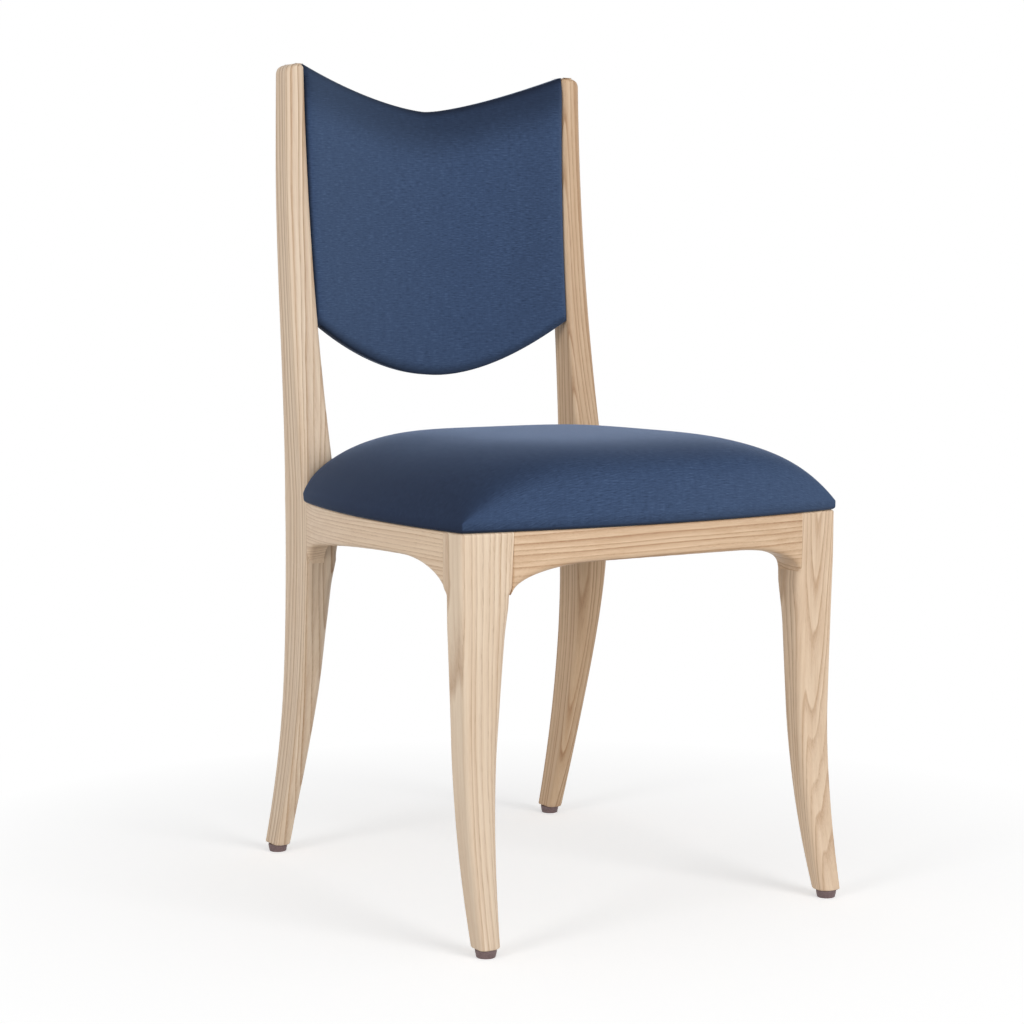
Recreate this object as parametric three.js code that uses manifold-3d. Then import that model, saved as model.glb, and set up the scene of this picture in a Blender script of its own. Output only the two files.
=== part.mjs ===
// A dining side chair with sabre legs, bowed rails, a domed seat cushion and a dished, upholstered back.
// Millimetres, +Z up, the front of the chair towards -Y. Every length below is a real size of the chair.
import * as THREE from 'three';
import { mergeVertices } from 'three/addons/utils/BufferGeometryUtils.js';
import Module from 'manifold-3d';

const wasm = await Module();
wasm.setup();

// Overall sizes
const chairHeight = 912;
const seatFrameTop = 421.5;
const fitGap = 0.3;
const cutOverrun = 6;

// Seat frame outline: straight lines from corner to corner, bowed outward
const frontCornerHalfWidth = 236;
const frontCornerDepth = 240;
const frontBow = 27;
const rearJointHalfWidth = 206.4;
const rearJointDepth = 146;
const sideBow = 21;

// Rails
const railThickness = 23;
const railLowerArris = 7;
const railSmallArris = 1.2;
const frontRailCentreDepth = 33.5;
const frontRailArch = 3;
const frontFilletLength = 90;
const frontFilletDrop = 27;
const frontRailSweepLength = 60;
const sideRailHighDepth = 30;
const sideRailHighRun = 73.5;
const sideRailArch = 21;
const sideFrontFilletLength = 85;
const sideFrontFilletDrop = 37;
const sideFrontFilletRun = 83;
const sideRearFilletLength = 30;
const sideRearFilletDrop = 19;
const backRailDepth = 46;
const backRailFlare = 10;
const backRailSetback = 18.5;

// Front legs
const frontLegTopWidth = 54;
const frontJointLow = 345;
const frontLegFootOuter = 229.9;
const frontLegFootInner = 205;
const frontLegDepth = 30.4;
const frontLegFootDepth = 24.4;
const frontLegDepthRise = 130;
const frontLegShoulderHeight = 370;
const frontLegKick = 29.8;
const frontLegKickHeight = 206;

// Rear legs, each in one piece with its back stile
const rearLegJointLow = 352;
const rearLegKick = 96;
const rearLegBackKick = 73;
const rearLegSeatDepth = 55.2;
const rearLegWaistHeight = 384;
const stileLean = 52.5;
const stileBackLean = 30;
const stileBackLeanRange = 436;
const rearLegInnerJoint = 165.5;
const rearLegFootInset = 16.5;
const stileInnerSpread = 9.5;
const stileOuterTaper = 8.5;
const rearLegAnkleHeight = 115;
const rearLegAnkleTaper = 7;
const rearLegFootFlare = 2;
const stileTopRound = 9;

// Leg arrises
const outerFrontArris = 6.5;
const frontLegInnerArris = 11;
const rearLegInnerArris = 3;
const outerBackArris = 5;
const innerBackArris = 8;
const jointArris = 0.6;
const arrisFade = 26;
const footLip = 1.4;

// Glides and their nails
const glideHeight = 8.8;
const glideRadius = 11.5;
const glideFootRadius = 10.2;
const glideEdge = 1.6;
const glideRecessRadius = 3.6;
const glideRecessDepth = 4.5;
const nailHeadRadius = 3;
const nailHeadHeight = 1.5;
const nailHeadRise = 2.4;
const nailRadius = 1.1;
const nailLength = 24;

// Dowels and screws
const dowelRadius = 4;
const dowelLength = 36;
const dowelEndGap = 0.8;
const dowelEdge = 9;
const panelDowelRadius = 2.5;
const panelDowelLength = 28;
const screwRadius = 2;
const screwHeadRadius = 4;
const screwHeadHeight = 3;
const screwTip = 3;
const railScrewBite = 13;
const frontBlockSeat = 14;
const rearBlockSeat = 12;

// Corner blocks
const blockHeight = 24;
const blockDrop = 3;
const frontBlockReach = 68;
const frontBlockRun = 58;
const rearBlockReach = 63;
const rearBlockRun = 51;
const frontBlockRailScrew = 38;
const frontBlockSideScrew = 33;
const frontBlockSeatScrewX = 13;
const frontBlockSeatScrewY = 9;
const rearBlockRailScrew = 38.5;
const rearBlockSideScrew = 26;
const rearBlockSeatScrewX = 13.5;
const rearBlockSeatScrewY = 3;

// Seat cushion
const cushionOverhang = 0.8;
const cushionRearDepth = 169;
const cushionRearHalfWidth = 203.4;
const cushionBorder = 9.5;
const cushionCrown = 73;
const cushionCornerRound = 0.5;
const coverThickness = 2.5;
const coverHem = 22;
const coverHemThickness = 2;
const coverStileHem = 9;
const boardThickness = 12;
const boardInset = 12;
const boardStileInset = 5;
const dustCoverThickness = 1.2;
const seatScrewBite = 9;

// Upholstered back
const backTopDip = 45.5;
const backBottomRise = 63;
const backBottomShare = 0.2771;
const backDish = 27;
const backProud = 1;
const backEdgeRound = 5.5;
const backCoverThickness = 2;
const backFoamThickness = 6.2;
const backCoreThickness = 11;
const backPanelThickness = 3.4;
const backPanelInset = 5;
const backLowerDowelShare = 0.2;
const backUpperDowelShare = 0.74;

// Counts of steps along curves
const legCornerSteps = [2, 3, 2, 3];
const railCornerSteps = [3, 1, 1, 1];
const holeSides = 8;
const roundSides = 14;
const cushionSteps = 16;
const plateSteps = 8;
const backAcrossSteps = 12;
const backUpSteps = 10;

// Places that follow from the sizes
const frontJointHalfWidth = frontCornerHalfWidth - frontLegTopWidth;
const frontLegBackFace = -frontCornerDepth + frontLegDepth;
const sideRailHighPlace = frontLegBackFace + sideRailHighRun;
const sideFrontFilletStart = frontLegBackFace + sideFrontFilletRun;
const rearLegBackFace = rearJointDepth + rearLegSeatDepth;
const cushionBase = seatFrameTop + fitGap;
const boardBottom = cushionBase + coverHemThickness + fitGap;
const boardTop = boardBottom + boardThickness;
const backBottomCentre = seatFrameTop + (chairHeight - seatFrameTop) * backBottomShare;
const backBottomCorner = backBottomCentre + backBottomRise;

function clampShare(value) {
  return Math.min(1, Math.max(0, value));
}

function smoothShare(value) {
  const share = clampShare(value);
  return share * share * (3 - 2 * share);
}

// The drop of a fillet that starts level and ends upright, as the place runs from 0 to 1 along it.
function filletShare(value) {
  const share = clampShare(value);
  return 1 - Math.sqrt(1 - share * share);
}

// Front edge of the seat frame at a sideways place x
function frameFront(x) {
  const share = x / frontCornerHalfWidth;
  return -frontCornerDepth - frontBow * (1 - share * share);
}

// Side edge of the seat frame at a depth y
function frameSide(y) {
  const share = (y + frontCornerDepth) / (rearJointDepth + frontCornerDepth);
  const straight = frontCornerHalfWidth + (rearJointHalfWidth - frontCornerHalfWidth) * share;
  return straight + sideBow * 4 * share * (1 - share);
}

function frontRailLow(x) {
  const place = Math.abs(x);
  const archShare = place / frontJointHalfWidth;
  const filletStart = frontJointHalfWidth - frontFilletLength;
  const arch = frontRailArch * archShare * archShare;
  const fillet = frontFilletDrop * filletShare((place - filletStart) / frontFilletLength);
  return seatFrameTop - frontRailCentreDepth - arch - fillet;
}

// Back face of the front rail: it sweeps rearward near each leg, to end flush with the leg's back
function frontRailBack(x) {
  const sweep = frontLegBackFace - frameFront(frontJointHalfWidth) - railThickness;
  const sweepStart = frontJointHalfWidth - frontRailSweepLength;
  const share = clampShare((Math.abs(x) - sweepStart) / frontRailSweepLength);
  return frameFront(x) + railThickness + sweep * share ** 2.2;
}

function sideRailLow(y) {
  const archShare = (y - sideRailHighPlace) / (rearJointDepth - sideRailHighPlace);
  const arch = sideRailArch * archShare * archShare;
  const frontShare = (sideFrontFilletStart - y) / sideFrontFilletLength;
  const rearStart = rearJointDepth - sideRearFilletLength;
  const rearShare = (y - rearStart) / sideRearFilletLength;
  const fillets = sideFrontFilletDrop * filletShare(frontShare) + sideRearFilletDrop * filletShare(rearShare);
  return seatFrameTop - sideRailHighDepth - arch - fillets;
}

function backRailLow(x) {
  const share = Math.abs(x) / rearLegInnerJoint;
  return seatFrameTop - backRailDepth - backRailFlare * share ** 8;
}

// One closed body from a run of rings with the same number of points, with a fan over each end
function loft(rings) {
  const count = rings[0].length;
  const positions = [];
  const indices = [];
  for (const ring of rings) {
    for (const point of ring) positions.push(point.x, point.y, point.z);
  }
  for (let level = 0; level < rings.length - 1; level++) {
    for (let place = 0; place < count; place++) {
      const next = (place + 1) % count;
      const low = level * count;
      const high = low + count;
      indices.push(low + place, low + next, high + place);
      indices.push(low + next, high + next, high + place);
    }
  }
  for (const level of [0, rings.length - 1]) {
    const middle = new THREE.Vector3();
    for (const point of rings[level]) middle.add(point);
    middle.divideScalar(count);
    const centre = positions.length / 3;
    positions.push(middle.x, middle.y, middle.z);
    for (let place = 0; place < count; place++) {
      const here = level * count + place;
      const next = level * count + (place + 1) % count;
      if (level === 0) indices.push(centre, next, here);
      else indices.push(centre, here, next);
    }
  }
  return facingOut(positions, indices);
}

function facingOut(positions, indices) {
  const geometry = new THREE.BufferGeometry();
  geometry.setAttribute('position', new THREE.Float32BufferAttribute(positions, 3));
  geometry.setIndex(indices);
  return enclosedVolume(geometry) < 0 ? flipped(geometry) : geometry;
}

function enclosedVolume(geometry) {
  const place = geometry.attributes.position;
  const index = geometry.index;
  const corners = [new THREE.Vector3(), new THREE.Vector3(), new THREE.Vector3()];
  let volume = 0;
  for (let start = 0; start < index.count; start += 3) {
    corners.forEach((corner, turn) => corner.fromBufferAttribute(place, index.getX(start + turn)));
    volume += corners[0].dot(corners[1].cross(corners[2])) / 6;
  }
  return volume;
}

function flipped(geometry) {
  const index = Array.from(geometry.index.array);
  for (let start = 0; start < index.length; start += 3) {
    [index[start + 1], index[start + 2]] = [index[start + 2], index[start + 1]];
  }
  geometry.setIndex(index);
  return geometry;
}

// The same body on the other side of the chair's middle plane
function mirrored(geometry) {
  const copy = welded(geometry);
  copy.scale(-1, 1, 1);
  return flipped(copy);
}

function welded(geometry) {
  const bare = geometry.clone();
  bare.deleteAttribute('normal');
  bare.deleteAttribute('uv');
  return mergeVertices(bare);
}

function toSolid(geometry) {
  const joined = welded(geometry);
  const mesh = new wasm.Mesh({
    numProp: 3,
    vertProperties: new Float32Array(joined.attributes.position.array),
    triVerts: new Uint32Array(joined.index.array),
  });
  return new wasm.Manifold(mesh);
}

function toGeometry(solid) {
  const mesh = solid.getMesh();
  const geometry = new THREE.BufferGeometry();
  geometry.setAttribute('position', new THREE.Float32BufferAttribute(mesh.vertProperties, 3));
  geometry.setIndex(Array.from(mesh.triVerts));
  return geometry;
}

function cutBy(geometry, cutters) {
  let solid = toSolid(geometry);
  for (const cutter of cutters) solid = solid.subtract(toSolid(cutter));
  return toGeometry(solid);
}

// The points of a polygon in a plane with each corner rounded by its own radius
function roundedPolygon(corners, radii, steps) {
  const points = [];
  corners.forEach((corner, place) => {
    const before = corners[(place + corners.length - 1) % corners.length];
    const after = corners[(place + 1) % corners.length];
    const toBefore = before.clone().sub(corner).normalize();
    const toAfter = after.clone().sub(corner).normalize();
    const halfAngle = Math.acos(toBefore.dot(toAfter)) / 2;
    const radius = radii[place];
    const inward = toBefore.clone().add(toAfter).normalize();
    const centre = corner.clone().addScaledVector(inward, radius / Math.sin(halfAngle));
    const reach = radius / Math.tan(halfAngle);
    const first = corner.clone().addScaledVector(toBefore, reach).sub(centre);
    const last = corner.clone().addScaledVector(toAfter, reach).sub(centre);
    const start = Math.atan2(first.y, first.x);
    let sweep = Math.atan2(last.y, last.x) - start;
    if (sweep > Math.PI) sweep -= 2 * Math.PI;
    if (sweep < -Math.PI) sweep += 2 * Math.PI;
    for (let step = 0; step <= steps[place]; step++) {
      const angle = start + sweep * step / steps[place];
      points.push(new THREE.Vector2(centre.x + radius * Math.cos(angle), centre.y + radius * Math.sin(angle)));
    }
  });
  return points;
}

function ringAtHeight(points, z) {
  return points.map((point) => new THREE.Vector3(point.x, point.y, z));
}

// Arris radius that fades out where a rail meets the leg flush
function fadingArris(radius, z, jointLow) {
  const share = smoothShare((z - jointLow + arrisFade) / arrisFade);
  return radius + (jointArris - radius) * share;
}

function frontLegFace(z) {
  const share = clampShare(1 - z / frontLegKickHeight);
  return -frontCornerDepth - frontLegKick * share ** 1.7;
}

function frontLegRing(z, inset) {
  const flareShare = clampShare(z / frontLegShoulderHeight) ** 2;
  const topBackOuter = frameSide(frontLegBackFace);
  const outerFront = frontLegFootOuter + (frontCornerHalfWidth - frontLegFootOuter) * flareShare;
  const outerBack = frontLegFootOuter + (topBackOuter - frontLegFootOuter) * flareShare;
  const innerShare = clampShare(z / frontJointLow);
  const inner = frontLegFootInner + (frontJointHalfWidth - frontLegFootInner) * innerShare;
  const depthShare = clampShare(1 - z / frontLegDepthRise);
  const depth = frontLegDepth - (frontLegDepth - frontLegFootDepth) * depthShare ** 2;
  const front = frontLegFace(z);
  const forward = (frameFront(frontJointHalfWidth) + frontCornerDepth) * (z / seatFrameTop) ** 3;
  const back = front + depth;
  const corners = [
    new THREE.Vector2(outerBack - inset, back - inset),
    new THREE.Vector2(inner + inset, back - inset),
    new THREE.Vector2(inner + inset, front + forward + inset),
    new THREE.Vector2(outerFront - inset, front + inset),
  ];
  const radii = [
    fadingArris(outerBackArris, z, sideRailLow(frontLegBackFace)),
    innerBackArris,
    fadingArris(frontLegInnerArris, z, frontRailLow(frontJointHalfWidth)),
    outerFrontArris,
  ];
  return ringAtHeight(roundedPolygon(corners, radii, legCornerSteps), z);
}

function frontLegBody() {
  const footTop = glideHeight + fitGap;
  const railJoints = [sideRailLow(frontLegBackFace), frontRailLow(frontJointHalfWidth)];
  const lowerJoint = Math.min(...railJoints);
  const upperJoint = Math.max(...railJoints);
  const rings = [frontLegRing(footTop, footLip), frontLegRing(footTop + footLip, 0)];
  const lowSteps = 7;
  for (let step = 1; step <= lowSteps; step++) {
    rings.push(frontLegRing(footTop + (frontJointLow - arrisFade - footTop) * step / lowSteps, 0));
  }
  const upperHeights = [
    frontJointLow,
    (frontJointLow + lowerJoint) / 2,
    lowerJoint,
    (lowerJoint + upperJoint) / 2,
    upperJoint,
    seatFrameTop,
  ];
  for (const height of upperHeights) rings.push(frontLegRing(height, 0));
  return loft(rings);
}

function stileShare(z) {
  return clampShare((z - seatFrameTop) / (chairHeight - seatFrameTop));
}

function rearLegFront(z) {
  const kickShare = clampShare(1 - z / rearLegJointLow);
  const leanShare = 1 - (1 - stileShare(z)) ** 2.05;
  return rearJointDepth + rearLegKick * kickShare ** 1.55 + stileLean * leanShare;
}

function rearLegBack(z) {
  const kickShare = clampShare(1 - z / rearLegWaistHeight);
  const leanShare = smoothShare((z - rearLegWaistHeight) / stileBackLeanRange);
  return rearLegBackFace + rearLegBackKick * kickShare ** 1.75 + stileBackLean * leanShare;
}

function rearLegOuter(z) {
  const lowShare = 1 - smoothShare((z - rearLegAnkleHeight) / (rearLegWaistHeight - rearLegAnkleHeight));
  const footShare = clampShare(1 - z / rearLegAnkleHeight);
  const low = rearLegAnkleTaper * lowShare - rearLegFootFlare * footShare ** 2;
  return rearJointHalfWidth - low - stileOuterTaper * stileShare(z) ** 0.85;
}

function rearLegInner(z) {
  const lowShare = clampShare(1 - z / rearLegJointLow);
  return rearLegInnerJoint + rearLegFootInset * lowShare ** 0.6 + stileInnerSpread * stileShare(z) ** 0.85;
}

function rearLegRing(z, inset, topInset) {
  const outer = rearLegOuter(z) - inset - topInset;
  const inner = rearLegInner(z) + inset;
  const corners = [
    new THREE.Vector2(outer, rearLegBack(z) - inset),
    new THREE.Vector2(inner, rearLegBack(z) - inset),
    new THREE.Vector2(inner, rearLegFront(z) + inset),
    new THREE.Vector2(outer, rearLegFront(z) + inset),
  ];
  const jointShare = smoothShare((z - rearLegJointLow + arrisFade) / arrisFade);
  const aboveShare = smoothShare((z - seatFrameTop) / arrisFade);
  const flush = jointShare * (1 - aboveShare);
  const radii = [
    outerBackArris,
    innerBackArris,
    rearLegInnerArris,
    outerFrontArris + (jointArris - outerFrontArris) * flush,
  ];
  return ringAtHeight(roundedPolygon(corners, radii, legCornerSteps), z);
}

// Heights of the stile's rings, from the seat frame up to where the top starts to round over
function stileHeights() {
  const steps = 8;
  const low = seatFrameTop + arrisFade;
  const high = chairHeight - stileTopRound;
  const heights = [seatFrameTop];
  for (let step = 0; step <= steps; step++) heights.push(low + (high - low) * step / steps);
  return heights;
}

function rearLegBody() {
  const footTop = glideHeight + fitGap;
  const rings = [rearLegRing(footTop, footLip, 0), rearLegRing(footTop + footLip, 0, 0)];
  const lowSteps = 9;
  const lowTop = rearLegJointLow - arrisFade;
  for (let step = 1; step <= lowSteps; step++) {
    rings.push(rearLegRing(footTop + (lowTop - footTop) * step / lowSteps, 0, 0));
  }
  for (const height of [rearLegJointLow, rearLegWaistHeight, ...stileHeights()]) {
    rings.push(rearLegRing(height, 0, 0));
  }
  const roundSteps = 3;
  for (let step = 1; step <= roundSteps; step++) {
    const angle = Math.PI / 2 * step / roundSteps;
    const height = chairHeight - stileTopRound + stileTopRound * Math.sin(angle);
    rings.push(rearLegRing(height, 0, stileTopRound * (1 - Math.cos(angle))));
  }
  return loft(rings);
}

// A rail ring seen along the rail: face is the outer side, back the inner side, both across the rail
function railSection(face, back, low) {
  const corners = [
    new THREE.Vector2(face, low),
    new THREE.Vector2(back, low),
    new THREE.Vector2(back, seatFrameTop),
    new THREE.Vector2(face, seatFrameTop),
  ];
  const radii = [railLowerArris, railSmallArris, railSmallArris, railSmallArris];
  return roundedPolygon(corners, radii, railCornerSteps);
}

function frontRailBody() {
  const steps = 28;
  const rings = [];
  for (let step = 0; step <= steps; step++) {
    const spread = 2 * step / steps - 1;
    const x = frontJointHalfWidth * Math.sin(Math.PI / 2 * spread);
    const face = frameFront(x);
    const section = railSection(face, frontRailBack(x), frontRailLow(x));
    rings.push(section.map((point) => new THREE.Vector3(x, point.x, point.y)));
  }
  return loft(rings);
}

function sideRailBody() {
  const steps = 18;
  const rings = [];
  for (let step = 0; step <= steps; step++) {
    const share = 0.5 - 0.5 * Math.cos(Math.PI * step / steps);
    const y = frontLegBackFace + (rearJointDepth - frontLegBackFace) * share;
    const face = frameSide(y);
    const section = railSection(face, face - railThickness, sideRailLow(y));
    rings.push(section.map((point) => new THREE.Vector3(point.x, y, point.y)));
  }
  return loft(rings);
}

function backRailBody() {
  const steps = 10;
  const rings = [];
  const back = rearJointDepth + backRailSetback + railThickness;
  for (let step = 0; step <= steps; step++) {
    const spread = 2 * step / steps - 1;
    const x = rearLegInnerJoint * Math.sin(Math.PI / 2 * spread);
    const section = railSection(back, back - railThickness, backRailLow(x));
    rings.push(section.map((point) => new THREE.Vector3(x, point.x, point.y)));
  }
  return loft(rings);
}

// A rod of flat sides between two points, long enough for its ends to lie on them
function rod(radius, from, to) {
  const length = from.distanceTo(to);
  const geometry = new THREE.CylinderGeometry(radius, radius, length, holeSides);
  const turn = new THREE.Quaternion().setFromUnitVectors(
    new THREE.Vector3(0, 1, 0),
    to.clone().sub(from).normalize(),
  );
  geometry.applyQuaternion(turn);
  const middle = from.clone().add(to).multiplyScalar(0.5);
  geometry.translate(middle.x, middle.y, middle.z);
  return geometry;
}

// Radius of a flat-sided hole whose flats clear a round pin by the fit gap
function holeRadius(pinRadius) {
  return (pinRadius + fitGap) / Math.cos(Math.PI / holeSides);
}

// A dowel across a joint: its middle lies on the joint face
function dowelAt(middle, along, radius, length) {
  const half = along.clone().multiplyScalar(length / 2);
  const far = along.clone().multiplyScalar(length / 2 + dowelEndGap);
  return {
    pin: rod(radius, middle.clone().sub(half), middle.clone().add(half)),
    hole: rod(holeRadius(radius), middle.clone().sub(far), middle.clone().add(far)),
  };
}

function jointDowels() {
  const sideways = new THREE.Vector3(1, 0, 0);
  const lengthways = new THREE.Vector3(0, 1, 0);
  const halfRail = railThickness / 2;
  const joints = [
    {
      name: 'front_rail',
      along: sideways,
      x: frontJointHalfWidth,
      y: frameFront(frontJointHalfWidth) + halfRail,
      low: frontRailLow(frontJointHalfWidth - dowelLength / 2),
    },
    {
      name: 'side_rail_front',
      along: lengthways,
      x: frameSide(frontLegBackFace) - halfRail,
      y: frontLegBackFace,
      low: sideRailLow(frontLegBackFace + dowelLength / 2),
    },
    {
      name: 'side_rail_rear',
      along: lengthways,
      x: rearJointHalfWidth - halfRail,
      y: rearJointDepth,
      low: sideRailLow(rearJointDepth - dowelLength / 2),
    },
    {
      name: 'back_rail',
      along: sideways,
      x: rearLegInnerJoint,
      y: rearJointDepth + backRailSetback + halfRail,
      low: backRailLow(rearLegInnerJoint - dowelLength / 2),
    },
  ];
  const dowels = [];
  for (const joint of joints) {
    const upper = seatFrameTop - dowelEdge;
    const lower = joint.low + dowelEdge;
    const heights = { upper, lower };
    for (const place of ['upper', 'lower']) {
      const middle = new THREE.Vector3(joint.x, joint.y, heights[place]);
      const { pin, hole } = dowelAt(middle, joint.along, dowelRadius, dowelLength);
      dowels.push({ joint: joint.name, place, pin, hole });
    }
  }
  return dowels;
}

// Corner block outlines, right-hand side of the chair, hugging the rails and the leg between them
function frontBlockOutline() {
  const gap = fitGap;
  const points = [];
  const curveSteps = 6;
  const legX = frontJointHalfWidth - gap;
  for (let step = 0; step <= curveSteps; step++) {
    const x = legX - frontBlockReach * (1 - step / curveSteps);
    points.push(new THREE.Vector2(x, frontRailBack(x) + gap));
  }
  points.push(new THREE.Vector2(legX, frontLegBackFace + gap));
  for (let step = 0; step <= curveSteps; step++) {
    const y = frontLegBackFace + gap + frontBlockRun * step / curveSteps;
    points.push(new THREE.Vector2(frameSide(y) - railThickness - gap, y));
  }
  return points;
}

function rearBlockOutline() {
  const gap = fitGap;
  const points = [];
  const curveSteps = 4;
  const railFace = rearJointDepth + backRailSetback - gap;
  const legX = rearLegInnerJoint - gap;
  for (let step = 0; step <= curveSteps; step++) {
    const y = rearJointDepth - gap - rearBlockRun * (1 - step / curveSteps);
    points.push(new THREE.Vector2(frameSide(y) - railThickness - gap, y));
  }
  points.push(new THREE.Vector2(legX, rearJointDepth - gap));
  points.push(new THREE.Vector2(legX, railFace));
  points.push(new THREE.Vector2(legX - rearBlockReach, railFace));
  return points;
}

// Screws of one corner: two through the block into the rails, one up through it into the seat board
function cornerScrews(corner) {
  const blockTop = seatFrameTop - blockDrop;
  const height = blockTop - blockHeight / 2;
  const isFront = corner === 'front';
  const seat = isFront ? frontBlockSeat : rearBlockSeat;
  const railX = isFront ? frontJointHalfWidth - frontBlockRailScrew : rearLegInnerJoint - rearBlockRailScrew;
  const railFace = isFront ? frontRailBack(railX) : rearJointDepth + backRailSetback;
  const railTurn = isFront ? -1 : 1;
  const sideY = isFront ? frontLegBackFace + frontBlockSideScrew : rearJointDepth - rearBlockSideScrew;
  const sideFace = frameSide(sideY) - railThickness;
  const seatX = isFront ? frontJointHalfWidth - frontBlockSeatScrewX : rearLegInnerJoint - rearBlockSeatScrewX;
  const seatY = isFront ? frontLegBackFace + frontBlockSeatScrewY : rearJointDepth - rearBlockSeatScrewY;
  return {
    rail: {
      head: new THREE.Vector3(railX, railFace - railTurn * seat, height),
      along: new THREE.Vector3(0, railTurn, 0),
      length: seat + railScrewBite,
    },
    side: {
      head: new THREE.Vector3(sideFace - seat, sideY, height),
      along: new THREE.Vector3(1, 0, 0),
      length: seat + railScrewBite,
    },
    seat: {
      head: new THREE.Vector3(seatX, seatY, blockTop - blockHeight),
      along: new THREE.Vector3(0, 0, 1),
      length: boardBottom + seatScrewBite - (blockTop - blockHeight),
    },
  };
}

function turnedTo(geometry, along, place) {
  const turn = new THREE.Quaternion().setFromUnitVectors(new THREE.Vector3(0, 1, 0), along);
  geometry.applyQuaternion(turn);
  geometry.translate(place.x, place.y, place.z);
  return geometry;
}

function screwBody(screw) {
  const profile = [
    new THREE.Vector2(0, -screwHeadHeight),
    new THREE.Vector2(screwHeadRadius, -screwHeadHeight * 0.4),
    new THREE.Vector2(screwHeadRadius, 0),
    new THREE.Vector2(screwRadius, 0),
    new THREE.Vector2(screwRadius, screw.length - screwTip),
    new THREE.Vector2(0, screw.length),
  ];
  const seated = screw.head.clone().addScaledVector(screw.along, -fitGap);
  return turnedTo(new THREE.LatheGeometry(profile, holeSides), screw.along, seated);
}

function screwShankHole(screw) {
  const start = screw.head.clone().addScaledVector(screw.along, -cutOverrun);
  const end = screw.head.clone().addScaledVector(screw.along, screw.length + dowelEndGap);
  return rod(holeRadius(screwRadius), start, end);
}

function screwHeadPocket(screw, reach) {
  const start = screw.head.clone().addScaledVector(screw.along, -reach);
  return rod(holeRadius(screwHeadRadius), start, screw.head);
}

function cornerBlockBody(corner, screws) {
  const outline = corner === 'front' ? frontBlockOutline() : rearBlockOutline();
  const geometry = new THREE.ExtrudeGeometry(new THREE.Shape(outline), { depth: blockHeight, bevelEnabled: false });
  geometry.translate(0, 0, seatFrameTop - blockDrop - blockHeight);
  const pocketReach = corner === 'front' ? frontBlockReach : rearBlockReach;
  return cutBy(geometry, [
    screwShankHole(screws.rail),
    screwShankHole(screws.side),
    screwShankHole(screws.seat),
    screwHeadPocket(screws.rail, pocketReach),
    screwHeadPocket(screws.side, pocketReach),
  ]);
}

// Glides and nails under a leg
function glideBody(x, y) {
  const nailGap = holeRadius(nailRadius);
  const profile = [
    new THREE.Vector2(nailGap, glideRecessDepth),
    new THREE.Vector2(glideRecessRadius, glideRecessDepth),
    new THREE.Vector2(glideRecessRadius, 0),
    new THREE.Vector2(glideFootRadius - glideEdge, 0),
    new THREE.Vector2(glideFootRadius, glideEdge),
    new THREE.Vector2(glideRadius, glideHeight - glideEdge),
    new THREE.Vector2(glideRadius - glideEdge / 2, glideHeight),
    new THREE.Vector2(nailGap, glideHeight),
    new THREE.Vector2(nailGap, glideRecessDepth),
  ];
  return turnedTo(
    new THREE.LatheGeometry(profile, roundSides),
    new THREE.Vector3(0, 0, 1),
    new THREE.Vector3(x, y, 0),
  );
}

function nailBody(x, y) {
  const headTop = glideRecessDepth - fitGap;
  const headLow = headTop - nailHeadHeight;
  const profile = [
    new THREE.Vector2(0, headLow),
    new THREE.Vector2(nailHeadRadius, headLow),
    new THREE.Vector2(nailHeadRadius, headTop),
    new THREE.Vector2(nailRadius, headTop),
    new THREE.Vector2(nailRadius, headTop + nailLength - nailHeadRise),
    new THREE.Vector2(0, headTop + nailLength),
  ];
  return turnedTo(
    new THREE.LatheGeometry(profile, holeSides),
    new THREE.Vector3(0, 0, 1),
    new THREE.Vector3(x, y, 0),
  );
}

function nailHole(x, y) {
  const start = new THREE.Vector3(x, y, glideHeight - cutOverrun);
  const end = new THREE.Vector3(x, y, glideRecessDepth + nailLength + dowelEndGap);
  return rod(holeRadius(nailRadius), start, end);
}

// Shares from -1 to 1 that stand closer together towards both ends
function spread(step, steps) {
  const even = 2 * step / steps - 1;
  return 0.35 * even + 0.65 * Math.sin(Math.PI / 2 * even);
}

// The places of a grid's rim, once round
function rimPlaces(acrossSteps, alongSteps) {
  const places = [];
  for (let across = 0; across < acrossSteps; across++) places.push([across, 0]);
  for (let along = 0; along < alongSteps; along++) places.push([acrossSteps, along]);
  for (let across = acrossSteps; across > 0; across--) places.push([across, alongSteps]);
  for (let along = alongSteps; along > 0; along--) places.push([0, along]);
  return places;
}

// A closed body between two curved sheets that share their rim places; both take shares from -1 to 1
function pillow(acrossSteps, alongSteps, upperSheet, lowerSheet) {
  const positions = [];
  const indices = [];
  const row = acrossSteps + 1;
  for (const sheet of [upperSheet, lowerSheet]) {
    for (let along = 0; along <= alongSteps; along++) {
      for (let across = 0; across <= acrossSteps; across++) {
        const point = sheet(spread(across, acrossSteps), spread(along, alongSteps));
        positions.push(point.x, point.y, point.z);
      }
    }
  }
  const sheetSize = row * (alongSteps + 1);
  for (let along = 0; along < alongSteps; along++) {
    for (let across = 0; across < acrossSteps; across++) {
      const corner = along * row + across;
      const quad = [corner, corner + 1, corner + row + 1, corner + row];
      indices.push(quad[0], quad[1], quad[2], quad[0], quad[2], quad[3]);
      const [a, b, c, d] = quad.map((place) => place + sheetSize);
      indices.push(a, c, b, a, d, c);
    }
  }
  const rim = rimPlaces(acrossSteps, alongSteps).map(([across, along]) => along * row + across);
  rim.forEach((here, place) => {
    const next = rim[(place + 1) % rim.length];
    indices.push(here, here + sheetSize, next + sheetSize);
    indices.push(here, next + sheetSize, next);
  });
  return facingOut(positions, indices);
}

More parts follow.
